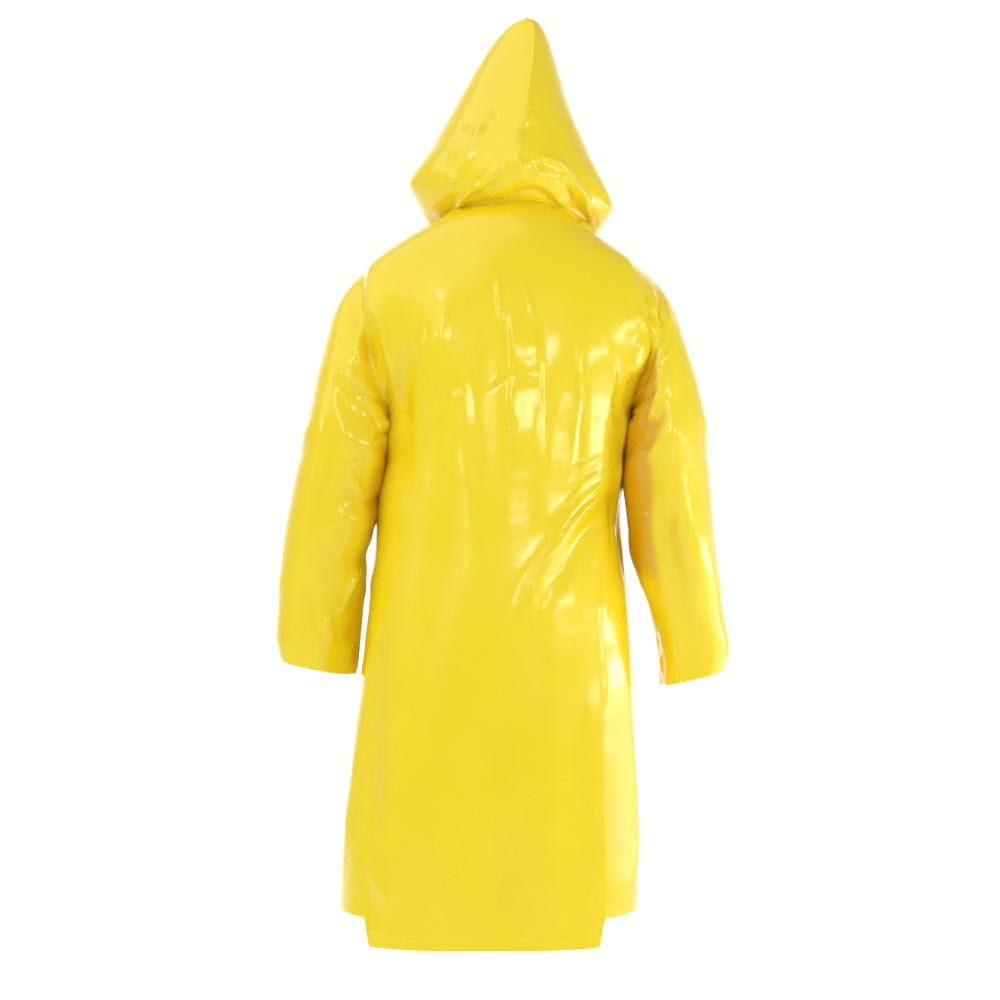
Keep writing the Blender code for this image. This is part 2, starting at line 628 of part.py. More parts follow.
def snap_mesh(name, centre, outward):
    """A low domed cap standing on the cloth."""
    outward = outward / np.linalg.norm(outward)
    across = np.cross(outward, (0.0, 0.0, 1.0))
    across /= np.linalg.norm(across)
    upward = np.cross(outward, across)
    points = []
    for radius, height in SNAP_PROFILE:
        for side in range(SNAP_SIDES):
            turn = 2 * np.pi * side / SNAP_SIDES
            around = across * np.cos(turn) + upward * np.sin(turn)
            points.append(centre + outward * height * SNAP_HEIGHT + around * SNAP_RADIUS * radius)
    faces = []
    top = (len(SNAP_PROFILE) - 1) * SNAP_SIDES
    for low in range(0, top, SNAP_SIDES):
        high = low + SNAP_SIDES
        for side in range(SNAP_SIDES):
            following = (side + 1) % SNAP_SIDES
            faces.append([low + side, low + following, high + following, high + side])
    faces.append(list(reversed(range(SNAP_SIDES))))
    faces.append([top + side for side in range(SNAP_SIDES)])
    mesh = bpy.data.meshes.new(name)
    mesh.from_pydata((np.array(points) * MM).tolist(), [], faces)
    mesh.validate()
    return mesh


def add_snaps(front, normals):
    """Snap caps down the middle of the lap, each clear of the curved cloth under it."""
    for number, level in enumerate(SNAP_LEVELS, start=1):
        name = f"snap_{number}"
        row = int(np.argmin(np.abs(levels() - level)))
        outward = normals[row, SNAP_COLUMN]
        centre = front[row, SNAP_COLUMN] + outward * SEAM_GAP
        add_object(name, snap_mesh(name, centre, outward), SNAP_YELLOW, SNAP_ROUGHNESS)


def main():
    for existing in list(bpy.data.objects):
        bpy.data.objects.remove(existing, do_unlink=True)
    panels, normals = add_panels()
    add_snaps(panels["front_left"], normals["front_left"])


main()
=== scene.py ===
"""Looks of the hooded raincoat: thin glossy cloth shells with creases, on its solids' forms.

The coat is one skin in the wearer's frame: +X is the wearer's left, +Y behind, +Z up. Every
panel is rebuilt here as a fine grid on the same forms as its solid, folded, creased and given
the thickness of coated cloth. The coat's tables are in millimetres, the studio's in metres.
"""

import bpy
import numpy as np
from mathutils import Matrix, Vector


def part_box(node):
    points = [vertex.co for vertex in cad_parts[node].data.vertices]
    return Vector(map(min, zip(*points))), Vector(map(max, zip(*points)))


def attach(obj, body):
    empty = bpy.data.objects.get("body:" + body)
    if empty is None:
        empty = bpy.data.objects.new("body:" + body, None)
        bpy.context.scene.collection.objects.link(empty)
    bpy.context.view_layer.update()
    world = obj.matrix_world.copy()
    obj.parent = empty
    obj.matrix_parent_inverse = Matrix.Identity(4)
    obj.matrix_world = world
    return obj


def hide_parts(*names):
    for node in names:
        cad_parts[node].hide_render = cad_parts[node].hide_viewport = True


MM = 0.001
SAME_PLACE = 0.01
CLOTH = 0.9               # thickness of the shell

# Forms of the coat, as its solids have them
NECK_RISE_BACK = 20.0
NECK_DROP_FRONT = 60.0
NECK_REACH = 260.0
SHOULDER_LEVEL = -50.0
UNDERARM_LEVEL = -300.0
HEM_LEVEL = -1085.0
TAIL_DROP = 43.0
TAIL_LEFT = 237.0
TAIL_RIGHT = -134.0
TAIL_STEP = 10.0
TAIL_LEVEL = -700.0
LAP = 32.0
LAP_FADE = 40.0
LAP_MARGIN = 6.0
LAP_DIP = 2.4
STEADY_REACH = 80.0
STEADY_SAMPLES = 7
EDGE_SHARE = 0.07
TUCK_SHARE = 0.26
HOOD_EDGE_PART = 11.0     # the hood's edge stands one part in so many from the lap
FOLD_SIDEWAYS = 0.5       # share by which folds push the trunk sideways too
FOLD_FADE = 0.25          # share of a fold's route over which it rises
FOLD_FOOT = 0.35          # share of its height at the ends
SLEEVE_HEAD_FADE = 60.0

# Fine grid of the skin
BACK_STRETCHES = (37, 4, 78, 4, 37)
BACK_COLUMNS = sum(BACK_STRETCHES)
FRONT_COLUMNS = 60
LAP_COLUMNS = 15
SKIRT_ROWS = 178
ARMHOLE_ROWS = 56
YOKE_ROWS = 24
SLEEVE_ROWS = 168
TUCK_ROWS = 46
HOOD_ROWS = 124
RING_STEPS = 1201         # steps that rings are measured in
LAP_STEPS = 1001
HEM_STEPS = 2001
FAR = 1e9

TRUNK_COLUMNS = ("height", "half_width", "middle_x", "side_y", "back_y", "front_y", "corner")
TRUNK = (
    (0,     112, 4,  0,   85,  -98,  2.0),
    (-12,   131, 11, 0,   95,  -104, 2.05),
    (-30,   157, 19, 0,   106, -111, 2.1),
    (-50,   186, 22, 0,   115, -117, 2.15),
    (-70,   214, 22, 0,   121, -121, 2.2),
    (-95,   238, 20, 0,   126, -124, 2.2),
    (-125,  251, 18, 0,   130, -127, 2.2),
    (-165,  247, 16, 0,   133, -131, 2.25),
    (-200,  235, 14, -3,  135, -134, 2.3),
    (-240,  216, 13, -8,  135, -137, 2.3),
    (-275,  200, 13, -18, 134, -139, 2.25),
    (-300,  193, 13, -29, 134, -140, 2.25),
    (-340,  193, 16, -47, 134, -142, 2.2),
    (-390,  196, 21, -61, 134, -144, 2.2),
    (-445,  197, 28, -66, 135, -146, 2.2),
    (-525,  202, 29, -61, 137, -149, 2.3),
    (-605,  209, 29, -50, 141, -152, 2.45),
    (-765,  223, 34, -35, 149, -158, 2.7),
    (-925,  232, 39, -18, 157, -163, 2.9),
    (-1085, 237, 45, -12, 164, -167, 3.0),
)
ARMHOLE_COLUMNS = ("height", "back_left", "back_right", "front")
ARMHOLE = (
    (-50,  186, 186, 186),
    (-70,  205, 195, 199),
    (-95,  215, 202, 207),
    (-125, 216, 208, 210),
    (-165, 208, 218, 209),
    (-200, 200, 218, 205),
    (-240, 195, 207, 200),
    (-275, 193, 197, 196),
    (-300, 193, 193, 193),
)
SLEEVE_COLUMNS = ("outer_x", "outer_z", "inner_x", "inner_z", "half_depth", "middle_y", "bow")
SLEEVE_LEFT = (
    (248, -78,  208, -314, 73, -16, 4),
    (284, -124, 207, -332, 75, -8,  2),
    (309, -200, 210, -366, 75, -3,  0),
    (331, -300, 216, -408, 72, -3,  0),
    (353, -395, 224, -455, 70, -8,  0),
    (375, -505, 236, -530, 68, -18, 0),
    (386, -612, 248, -618, 66, -32, 0),
    (392, -676, 256, -706, 64, -40, 0),
    (387, -703, 260, -727, 63, -42, 0),
)
SLEEVE_RIGHT = (
    (-208, -78,  -188, -314, 75, -10, -22),
    (-243, -122, -181, -332, 75, -8,  -8),
    (-272, -205, -175, -368, 75, -3,  0),
    (-296, -300, -172, -412, 72, -3,  0),
    (-305, -385, -174, -458, 70, -8,  0),
    (-321, -525, -182, -535, 68, -18, 0),
    (-334, -628, -211, -618, 65, -32, 0),
    (-348, -684, -226, -690, 60, -40, 0),
    (-343, -716, -229, -744, 59, -42, 0),
)
HOOD_COLUMNS = ("ridge_x", "ridge_y", "ridge_z", "left_x", "left_z", "right_x", "right_z",
                "side_y", "edge_x", "edge_right_x", "edge_y", "edge_z", "roundness")
HOOD = (
    (6,   104, 31,  133, 4,   -124, -4,  -2,  54,  -52,  -104, -46, 2.0),
    (3,   127, 48,  147, 12,  -136, -4,  -5,  88,  -80,  -120, -24, 1.7),
    (-2,  138, 78,  170, 60,  -151, 26,  -12, 132, -116, -120, 30,  1.3),
    (-12, 133, 140, 142, 112, -121, 94,  -8,  116, -98,  -112, 92,  1.18),
    (-22, 115, 210, 103, 176, -88,  168, 0,   80,  -70,  -96,  158, 1.14),
    (-27, 96,  266, 67,  236, -68,  232, 6,   46,  -52,  -76,  212, 1.18),
    (-26, 84,  294, 38,  282, -54,  278, 10,  14,  -44,  -62,  244, 1.4),
    (-19, 76,  306, 15,  301, -41,  300, 18,  -6,  -34,  -54,  256, 1.9),
    (-14, 68,  311, -14, 308, -14,  308, 24,  -14, -14,  -48,  262, 2.0),
)

# The solids' large folds: side, height, reach, route in x and z. Left out are a ridge at the
# back's middle, one at its right and the hollow between: flat-topped creases stand for them.
TRUNK_FOLDS = (
    ("back", -3.5, 24, (54, -150), (56, -310), (46, -500)),
    ("back", 5,   24, (112, -130), (116, -230), (132, -340)),
    ("back", 8,   20, (-150, -405), (-84, -480), (-44, -545), (6, -640)),
    ("back", -7,  18, (-140, -455), (-92, -508), (-40, -590)),
    ("back", -9,  20, (188, -180), (182, -290), (176, -430)),
    ("back", 7,   20, (-176, -130), (-190, -195), (-172, -262)),
    ("back", -7,  26, (226, -700), (230, -900), (228, -1060)),
    ("back", 6,   30, (190, -760), (196, -930), (200, -1100)),
    ("back", 6,   30, (-142, -700), (-140, -900), (-142, -1080)),
    ("back", -6,  30, (-92, -640), (-88, -840), (-84, -1080)),
    ("back", -4,  40, (60, -640), (66, -860), (72, -1090)),
    ("front", 9,  26, (150, -220), (128, -420), (140, -760), (160, -1080)),
    ("front", -8, 26, (104, -300), (92, -560), (98, -860), (104, -1080)),
    ("front", 7,  28, (64, -520), (62, -800), (66, -1080)),
    ("front", 9,  26, (-120, -220), (-104, -430), (-92, -720), (-96, -1080)),
    ("front", -8, 26, (-70, -330), (-58, -600), (-44, -860), (-40, -1080)),
    ("front", 7,  24, (-150, -420), (-140, -700), (-148, -1080)),
    ("front", -7, 22, (190, -430), (196, -700), (212, -1080)),
    ("front", 7,  20, (176, -270), (120, -330), (60, -360)),
    ("front", 7,  20, (-156, -265), (-100, -335), (-50, -372)),
)
# Height, reach along the sleeve, reach round it, route in mm along it and degrees round it.
SLEEVE_LEFT_FOLDS = (
    (-6, 22, 24, (95, 150), (120, 110), (150, 60)),
    (6,  24, 24, (130, 165), (165, 120), (195, 70)),
    (-6, 20, 22, (235, 190), (262, 150), (280, 100)),
    (5,  22, 22, (268, 200), (300, 150), (322, 100)),
    (-6, 22, 22, (350, 215), (372, 160), (386, 110)),
    (6,  60, 16, (430, 95), (520, 100), (600, 104)),
    (-6, 20, 26, (250, -60), (276, -110), (300, -160)),
    (6,  22, 26, (300, -50), (326, -100), (350, -150)),
    (-5, 60, 16, (420, -80), (520, -90), (610, -92)),
)
SLEEVE_RIGHT_FOLDS = (
    (-6, 22, 24, (110, 165), (136, 120), (150, 70)),
    (6,  24, 24, (150, 160), (176, 110), (200, 60)),
    (6,  60, 16, (150, 62), (300, 66), (470, 58)),
    (-6, 60, 18, (260, 100), (380, 98), (520, 92)),
    (5,  60, 16, (430, 120), (520, 126), (600, 128)),
    (-6, 20, 26, (260, -60), (286, -110), (310, -160)),
    (6,  22, 26, (312, -50), (340, -100), (362, -150)),
    (-5, 60, 16, (430, -80), (520, -92), (610, -96)),
)

# Creases: height, reach on the route's left and right, crest (2 soft, 1.2 sharp), route.
# Behind: x and z, from the top down, as the photo shows them.
BEHIND = (
    # broad flat-topped folds down the back
    (4, 20, 25, 6, (-10, -150), (-12, -270), (-10, -400)),
    (5, 16, 30, 6, (-112, -185), (-118, -310), (-110, -470)),
    (2.5, 15, 16, 4, (94, -240), (92, -330), (86, -440)),
    (2.5, 7, 8, 3, (119, -145), (115, -180), (122, -218)),
    # their edges and the short creases that cross them
    (3, 3, 4, 1.3, (10, -145), (5, -248)),
    (2.5, 3, 4, 1.3, (8, -275), (9, -370)),
    (2, 3, 3, 1.4, (-35, -190), (-37, -330)),
    (-3, 3, 4, 1.4, (58, -284), (8, -260), (-42, -220)),
    (3, 3, 3, 1.3, (50, -277), (4, -252), (-40, -228)),
    (2.5, 3, 3, 1.4, (8, -278), (-38, -254)),
    (3, 3, 3, 1.4, (31, -108), (29, -138), (21, -168)),
    (3, 3, 3, 1.4, (-9, -116), (-22, -140), (-25, -170)),
    (4, 3, 5, 1.25, (-90, -195), (-96, -300), (-78, -422)),
    (2.5, 7, 5, 1.5, (-143, -210), (-148, -350)),
    (-2.5, 3, 3, 1.4, (-82, -417), (-130, -390)),
    (2.5, 3, 3, 1.4, (-80, -403), (-127, -375)),
    (-4, 5, 5, 1.5, (142, -170), (161, -248)),
    (2.5, 3, 3, 1.4, (104, -297), (80, -275)),
    (2, 3, 3, 1.4, (132, -279), (104, -260)),
    (2, 3, 3, 1.4, (161, -319), (132, -300)),
    # shallow hollows between the folds
    (-3, 12, 12, 2, (172, -163), (170, -260), (180, -354)),
    (3, 12, 12, 2, (188, -201), (190, -330)),
    # right edge of the back and the fan that runs from it across the waist
    (3, 3, 4, 1.3, (-170, -262), (-160, -338), (-160, -407), (-164, -552)),
    (-2.5, 5, 5, 1.6, (-152, -422), (-145, -537)),
    (4, 4, 4, 1.2, (-142, -406), (-82, -464), (-43, -530), (10, -622)),
    (-4, 4, 5, 1.4, (-141, -415), (-74, -483), (-36, -551)),
    (3.5, 4, 5, 1.3, (-138, -428), (-73, -488), (-38, -562)),
    (2.5, 4, 4, 1.4, (-129, -390), (-95, -430), (-72, -461)),
    (2, 5, 5, 1.6, (-22, -545), (-25, -660)),
    # skirt
    (-3, 12, 14, 2.2, (212, -570), (216, -780), (228, -980)),
    (3, 9, 9, 2, (236, -980), (218, -1022), (196, -1070)),
    (3, 4, 12, 1.5, (-128, -540), (-138, -780)),
    (-5, 30, 30, 2.6, (-150, -720), (-158, -900), (-162, -1060)),
    (2.5, 30, 30, 2, (130, -630), (146, -900), (152, -1118)),
    (-3, 34, 34, 2, (30, -740), (20, -930), (18, -1125)),
    (2.5, 28, 28, 2, (-60, -710), (-70, -900), (-74, -1118)),
    (-2.5, 22, 22, 2, (184, -600), (196, -1100)),
    # armholes
    (6, 8, 8, 1.5, (-196, -186), (-189, -222), (-174, -256)),
    (3, 3, 3, 1.4, (-183, -142), (-205, -180)),
    (-3, 4, 4, 1.5, (-172, -272), (-197, -242)),
    (6, 8, 7, 1.5, (233, -128), (212, -176), (196, -222), (190, -300)),
    (4, 4, 4, 1.5, (229, -126), (227, -190)),
    # left sleeve: the wedge beside its seam, the leaf below it, armpit and cuff
    (6, 6, 6, 1.4, (236, -118), (243, -170), (252, -240)),
    (-7, 6, 6, 1.6, (234, -186), (229, -246)),
    (8, 6, 8, 2, (273, -246), (232, -267)),
    (-4, 4, 4, 1.5, (257, -273), (221, -281), (200, -304)),
    (3, 3, 3, 1.3, (233, -270), (198, -294)),
    (4, 4, 4, 1.4, (232, -348), (220, -334), (196, -314)),
    (-4, 4, 4, 1.5, (224, -355), (200, -334)),
    (3, 4, 4, 1.4, (265, -393), (222, -399)),
    (4, 6, 9, 1.4, (270, -391), (250, -425), (231, -448)),
    (-3, 9, 10, 2, (247, -408), (226, -436)),
    (5, 6, 5, 1.4, (243, -556), (273, -613), (302, -630)),
    (-5, 16, 12, 2, (254, -590), (264, -690)),
    (-4, 6, 6, 1.7, (328, -585), (315, -665)),
    (4, 5, 5, 1.5, (310, -622), (292, -676)),
    (3.5, 18, 18, 2, (278, -150), (320, -420), (357, -655)),
    (-2.5, 14, 14, 2, (284, -290), (309, -500)),
    # right sleeve: pocket at its head, lines to the armpit, the long edge and the cuff
    (-6, 6, 8, 1.6, (-201, -112), (-215, -170)),
    (5, 3, 3, 1.4, (-210, -104), (-216, -130), (-226, -164)),
    (-5, 5, 5, 1.6, (-224, -136), (-232, -175)),
    (4, 8, 8, 1.7, (-230, -124), (-243, -176)),
    (4, 3, 3, 1.3, (-236, -183), (-208, -225), (-180, -264)),
    (3.5, 3, 3, 1.3, (-242, -195), (-215, -233), (-186, -275)),
    (4, 3, 3, 1.3, (-209, -176), (-200, -222), (-176, -257)),
    (4.5, 3, 4, 1.3, (-173, -297), (-198, -276), (-228, -252)),
    (-4, 4, 4, 1.5, (-175, -306), (-202, -288), (-230, -266)),
    (4, 3, 4, 1.3, (-173, -318), (-192, -302), (-228, -282)),
    (3, 3, 4, 1.4, (-175, -330), (-209, -316)),
    (14, 24, 38, 1.3, (-236, -170), (-243, -300), (-254, -450), (-280, -545), (-312, -708)),
    (-4, 12, 12, 2, (-198, -332), (-209, -434), (-241, -566)),
    (3, 3, 3, 1.3, (-178, -464), (-212, -478)),
    (4, 10, 10, 2, (-184, -430), (-201, -540), (-234, -675)),
    (4, 4, 4, 1.4, (-222, -688), (-233, -728)),
    (-3, 4, 4, 1.5, (-232, -642), (-221, -690)),
    # hood: the crest on its left plane, with its foot and the leaf beside it
    (7, 3.5, 8, 1.2, (48, 158), (62, 118), (80, 86), (104, 46)),
    (-4.5, 5, 5, 1.6, (34, 158), (54, 116)),
    (4, 8, 8, 1.8, (111, 56), (91, 43)),
    (3.5, 2.5, 3, 1.3, (82, 141), (74, 117)),
    (-2.5, 3, 3, 1.4, (75, 141), (68, 116)),
    (3, 2.5, 3, 1.3, (89, 109), (93, 82), (102, 57)),
    (3, 2.5, 3, 1.3, (95, 110), (106, 85), (107, 62)),
    (-2.5, 4, 4, 1.6, (97, 100), (101, 68)),
    # the fold round the neck, its beak in the middle and the lens under it
    (6, 6, 3.5, 1.2, (128, -12), (88, 22), (55, 44), (2, 77)),
    (-6, 4, 5, 1.35, (79, 17), (50, 40), (17, 56)),
    (2.5, 6, 5, 3, (66, 34), (36, 46), (4, 54)),
    (5, 4, 9, 1.2, (-1, 80), (-5, 47)),
    (3, 8, 8, 4, (-28, 88), (-38, 48)),
    (-4, 8, 7, 1.7, (-20, 138), (-11, 116), (1, 91)),
    (2.5, 4, 4, 1.4, (-24, 167), (-18, 135)),
    # the ribbon on its right, the hollow under it with small wrinkles, and the lip
    (6, 6, 5, 1.4, (-17, 90), (-49, 83), (-84, 56), (-116, 15), (-118, -8)),
    (-6, 8, 9, 1.8, (-61, 52), (-90, 22), (-105, -16)),
    (3, 2.5, 2.5, 1.3, (-69, 61), (-74, 23)),
    (3, 2.5, 2.5, 1.3, (-86, 43), (-92, 2)),
    (3.5, 4, 5, 1.2, (76, 23), (27, 41), (-8, 50), (-42, 40), (-70, 18), (-96, -11)),
    (-5, 6, 5, 2, (78, 10), (28, 27), (-8, 34), (-46, 24), (-76, 2)),
)
# In front: x and z. These and the ones beside are guesses.
AHEAD = (
    (4, 10, 10, 1.8, (72, -84), (90, -150), (97, -236)),
    (4, 11, 9, 1.8, (-60, -92), (-82, -170), (-90, -262)),
    (5, 7, 9, 1.4, (186, -300), (142, -338), (92, -351)),
    (-5, 7, 6, 1.5, (188, -320), (144, -366), (86, -390)),
    (4, 6, 6, 1.4, (182, -344), (138, -398), (102, -446)),
    (3, 5, 5, 1.4, (170, -376), (146, -420), (128, -478)),
    (5, 8, 7, 1.4, (-160, -296), (-116, -346), (-64, -366)),
    (-5, 6, 7, 1.5, (-160, -322), (-108, -378), (-54, -404)),
    (4, 6, 6, 1.4, (-152, -352), (-112, -420), (-84, -478)),
    (3, 5, 5, 1.5, (-146, -392), (-124, -440), (-112, -500)),
    (5, 10, 8, 1.4, (176, -468), (122, -538), (84, -624)),
    (-4, 9, 9, 1.7, (178, -500), (134, -566), (102, -650)),
    (5, 9, 10, 1.4, (-146, -462), (-102, -540), (-66, -646)),
    (-4, 9, 9, 1.7, (-142, -500), (-108, -576), (-84, -668)),
    (3, 5, 5, 1.5, (-20, -132), (-46, -142), (-74, -138)),
    (3, 5, 4, 1.5, (40, -138), (66, -152), (92, -150)),
    (3, 4, 5, 1.5, (38, -296), (62, -306), (84, -302)),
    (-3, 5, 5, 1.5, (36, -316), (60, -332), (82, -336)),
    (3, 5, 5, 1.5, (-24, -300), (-44, -312), (-60, -332)),
    (3, 5, 5, 1.5, (42, -446), (70, -462), (94, -490)),
    (3, 5, 5, 1.5, (-14, -456), (-36, -476), (-54, -508)),
    (3, 5, 6, 1.5, (46, -628), (66, -652), (78, -690)),
    (2.5, 5, 5, 1.5, (-10, -634), (-30, -658), (-38, -700)),
    (4, 22, 18, 2, (150, -640), (162, -860), (172, -1084)),
    (-4, 20, 22, 2, (122, -700), (128, -900), (132, -1084)),
    (4, 20, 24, 2, (-112, -650), (-120, -880), (-124, -1084)),
    (-3, 26, 22, 2, (-74, -760), (-70, -920), (-68, -1084)),
    (3, 20, 20, 2, (70, -820), (76, -950), (78, -1084)),
    (3, 16, 16, 2, (-158, -720), (-164, -900), (-170, -1084)),
    # sleeves
    (4, 7, 8, 1.5, (316, -336), (284, -370), (240, -388)),
    (-4, 7, 7, 1.6, (324, -374), (290, -404), (246, -420)),
    (3, 6, 6, 1.5, (330, -410), (298, -440), (252, -452)),
    (4, 6, 6, 1.5, (302, -206), (268, -248), (222, -286)),
    (-4, 6, 6, 1.6, (306, -236), (270, -276), (226, -310)),
    (4, 7, 7, 1.5, (358, -574), (330, -602), (288, -622)),
    (-3, 8, 8, 1.8, (360, -606), (338, -634), (300, -654)),
    (4, 16, 16, 2, (320, -440), (334, -570), (346, -690)),
    (4, 8, 7, 1.5, (-272, -334), (-240, -366), (-196, -386)),
    (-4, 7, 7, 1.6, (-278, -370), (-244, -402), (-200, -422)),
    (3, 6, 6, 1.5, (-284, -408), (-252, -440), (-206, -462)),
    (4, 6, 6, 1.5, (-262, -204), (-234, -246), (-190, -280)),
    (4, 7, 7, 1.5, (-312, -580), (-284, -608), (-246, -628)),
    (4, 16, 16, 2, (-276, -450), (-288, -580), (-298, -700)),
)
# On the left and on the right: y and z.
BESIDE_LEFT = (
    (2, 14, 14, 2, (54, -318), (0, -346), (-62, -336)),
    (-2, 14, 14, 2, (56, -360), (2, -386), (-64, -380)),
    (1.5, 14, 14, 2, (30, -560), (-30, -590), (-84, -580)),
    (4, 15, 14, 2, (-30, -120), (-26, -200), (-20, -290)),
    (3, 16, 16, 2, (-50, -440), (-60, -550), (-72, -700)),
    (4, 12, 12, 1.2, (50, 58), (-10, 62), (-70, 60)),
    (-3, 12, 12, 1.8, (-6, 112), (-34, 112), (-88, 96)),
    (4, 9, 9, 1.6, (0, 178), (-24, 180), (-72, 168)),
    (-3, 8, 8, 1.8, (4, 220), (-20, 218), (-58, 206)),
    (5, 16, 16, 2, (-92, -700), (-88, -900), (-94, -1084)),
    (-5, 18, 16, 2, (-30, -620), (-24, -860), (-30, -1084)),
    (4, 16, 18, 2, (48, -640), (56, -860), (60, -1084)),
)
BESIDE_RIGHT = (
    (2, 14, 14, 2, (52, -308), (-4, -338), (-64, -330)),
    (-2, 14, 14, 2, (54, -354), (0, -380), (-62, -372)),
    (1.5, 14, 14, 2, (28, -566), (-34, -600), (-86, -588)),
    (4, 15, 14, 2, (-26, -118), (-20, -200), (-16, -284)),
    (-4, 14, 14, 2, (10, -420), (0, -520), (-14, -640)),
    (4, 12, 12, 1.2, (50, 24), (-10, 27), (-70, 25)),
    (-3, 12, 12, 1.8, (-6, 92), (-34, 92), (-86, 80)),
    (4, 9, 9, 1.6, (-2, 166), (-26, 168), (-74, 156)),
    (-3, 8, 8, 1.8, (0, 214), (-22, 212), (-58, 200)),
    (5, 16, 16, 2, (-84, -690), (-82, -900), (-88, -1084)),
    (-5, 18, 16, 2, (-24, -610), (-20, -850), (-26, -1084)),
    (4, 16, 18, 2, (54, -640), (60, -860), (64, -1084)),
)
TOUCH = (                 # where sleeve and trunk press together: x, y, z, radius, height
    (206, -25, -375, 110, 4.5),
    (-180, -25, -335, 110, 5.0),
)
# Painted shade between each sleeve and the trunk: where the deep orange is painted
PAINTED_SHADE_ZONES = {               # lowest and highest level, inward slope at which it starts and is full
    "sleeve_left": (-530, -330, 0.55, 0.95),
    "sleeve_right": (-600, -190, 0.05, 0.55),
}
PAINTED_SHADE_FADE = (70.0, 60.0)    # at its lowest and highest level
CREASE_REACH = 3.2        # a crease ends this many reaches from its route
CREASE_FADE = 0.3         # share of its route over which it rises
CREASE_FOOT = 0.08        # share of its height at the ends
CREASE_UNEVEN = (0.25, 9.0, 2.4)    # share, waves along it, shift from one to the next
FACING = (0.02, 0.32)     # slope at which creases behind and in front start, and its reach
FACING_SIDE = (0.45, 0.35)
TOUCH_FACING = (0.5, 0.35)
WARP = 2.5                # how far routes wander
WARP_LENGTH = 85.0
WARP_SEEDS = (11, 12, 13)
WAVE_COUNT = 26
WAVE_SPREAD = (0.7, 1.5)
# Random relief: length of its waves, seed, stretch.
BROAD_WAVES = (150.0, 21, (1.0, 1.0, 0.4))
MIDDLE_WAVES = (58.0, 22, (1.0, 1.0, 0.7))
SMALL_WAVES = (34.0, 23, (1.0, 1.0, 1.0))
CALM = 0.05               # how crumpled the cloth is everywhere
BROAD_HEIGHT = 0.5
MIDDLE_HEIGHT = (0.05, 0.6)    # everywhere, and more where the cloth is crumpled
SMALL_HEIGHT = 0.6
ROW_PUFF = (              # where cloth is crumpled: x, y, z, radius, strength
    (205, 0, -310, 85, 0.5),
    (-180, 0, -300, 85, 0.6),
    (290, 0, -400, 110, 0.3),
    (-245, 0, -400, 110, 0.3),
    (320, -30, -640, 90, 0.25),
    (-285, -30, -640, 90, 0.25),
    (0, 60, 40, 110, 0.18),
    (0, 0, -450, 190, 0.12),
)


def column(rows, names, name):
    place = names.index(name)
    return np.array([row[place] for row in rows], dtype=float)


def smooth_step(value):
    value = np.clip(value, 0.0, 1.0)
    return value * value * (3.0 - 2.0 * value)


def steps_along(points, axis=0):
    return np.linalg.norm(np.diff(points, axis=axis), axis=-1)


def lengths_to(steps):
    return np.concatenate(([0.0], np.cumsum(steps)))


def spline(knots, values, at):
    """Smooth curve through values at rising knots; values may be rows of points."""
    slopes = np.gradient(values, knots, axis=0)
    span = np.clip(np.searchsorted(knots, at, side="right") - 1, 0, len(knots) - 2)
    width = knots[span + 1] - knots[span]
    part = (at - knots[span]) / width
    tail = (slice(None),) + (None,) * (values.ndim - 1)
    part, width = part[tail], width[tail]
    return ((2 * part**3 - 3 * part**2 + 1) * values[span]
            + (part**3 - 2 * part**2 + part) * width * slopes[span]
            + (3 * part**2 - 2 * part**3) * values[span + 1]
            + (part**3 - part**2) * width * slopes[span + 1])


def table_at(rows, names, name, height):
    heights = column(rows, names, "height")[::-1]
    values = column(rows, names, name)[::-1]
    flat = spline(heights, values, np.ravel(height))
    return flat.reshape(np.shape(height))


def loft(curves, shares):
    """Surface through curves of equal point count, read at shares of its length."""
    curves = np.array(curves)
    steps = steps_along(curves).mean(axis=1)
    knots, lengths = lengths_to(np.sqrt(steps)), lengths_to(steps)
    at = np.interp(np.array(shares) * lengths[-1], lengths, knots)
    return spline(knots, curves, at)


def route_distance(first, second, route, scale_first=1.0, scale_second=1.0):
    """Distance to a route in reaches, the share of it passed, and the side of it (+ left)."""
    points = np.array(route, dtype=float) / (scale_first, scale_second)
    place = np.stack([first / scale_first, second / scale_second], axis=-1)
    lengths = steps_along(points)
    starts = lengths_to(lengths)
    best = np.full(place.shape[:-1], FAR)
    passed = np.zeros(place.shape[:-1])
    side = np.ones(place.shape[:-1])
    for start, end, length, before in zip(points[:-1], points[1:], lengths, starts):
        step = (end - start) / length
        off = place - start
        along = np.clip(off @ step, 0.0, length)
        away = np.linalg.norm(off - along[..., None] * step, axis=-1)
        turned = step[0] * off[..., 1] - step[1] * off[..., 0]
        nearer = away < best
        best = np.where(nearer, away, best)
        passed = np.where(nearer, (before + along) / starts[-1], passed)
        side = np.where(nearer, turned, side)
    return best, passed, side


def rise(passed, fade, foot):
    """How a route's height rises from its foot at one end and falls to it at the other."""
    within = smooth_step(passed / fade) * smooth_step((1.0 - passed) / fade)
    return foot + (1.0 - foot) * within


def fold_height(distance, passed, height):
    return height * np.exp(-distance**2) * rise(passed, FOLD_FADE, FOLD_FOOT)


def trunk_at(name, level):
    return table_at(TRUNK, TRUNK_COLUMNS, name, level)


def ring_row(level):
    """The trunk table's cells at a level."""
    return {name: trunk_at(name, level) for name in TRUNK_COLUMNS[1:]}


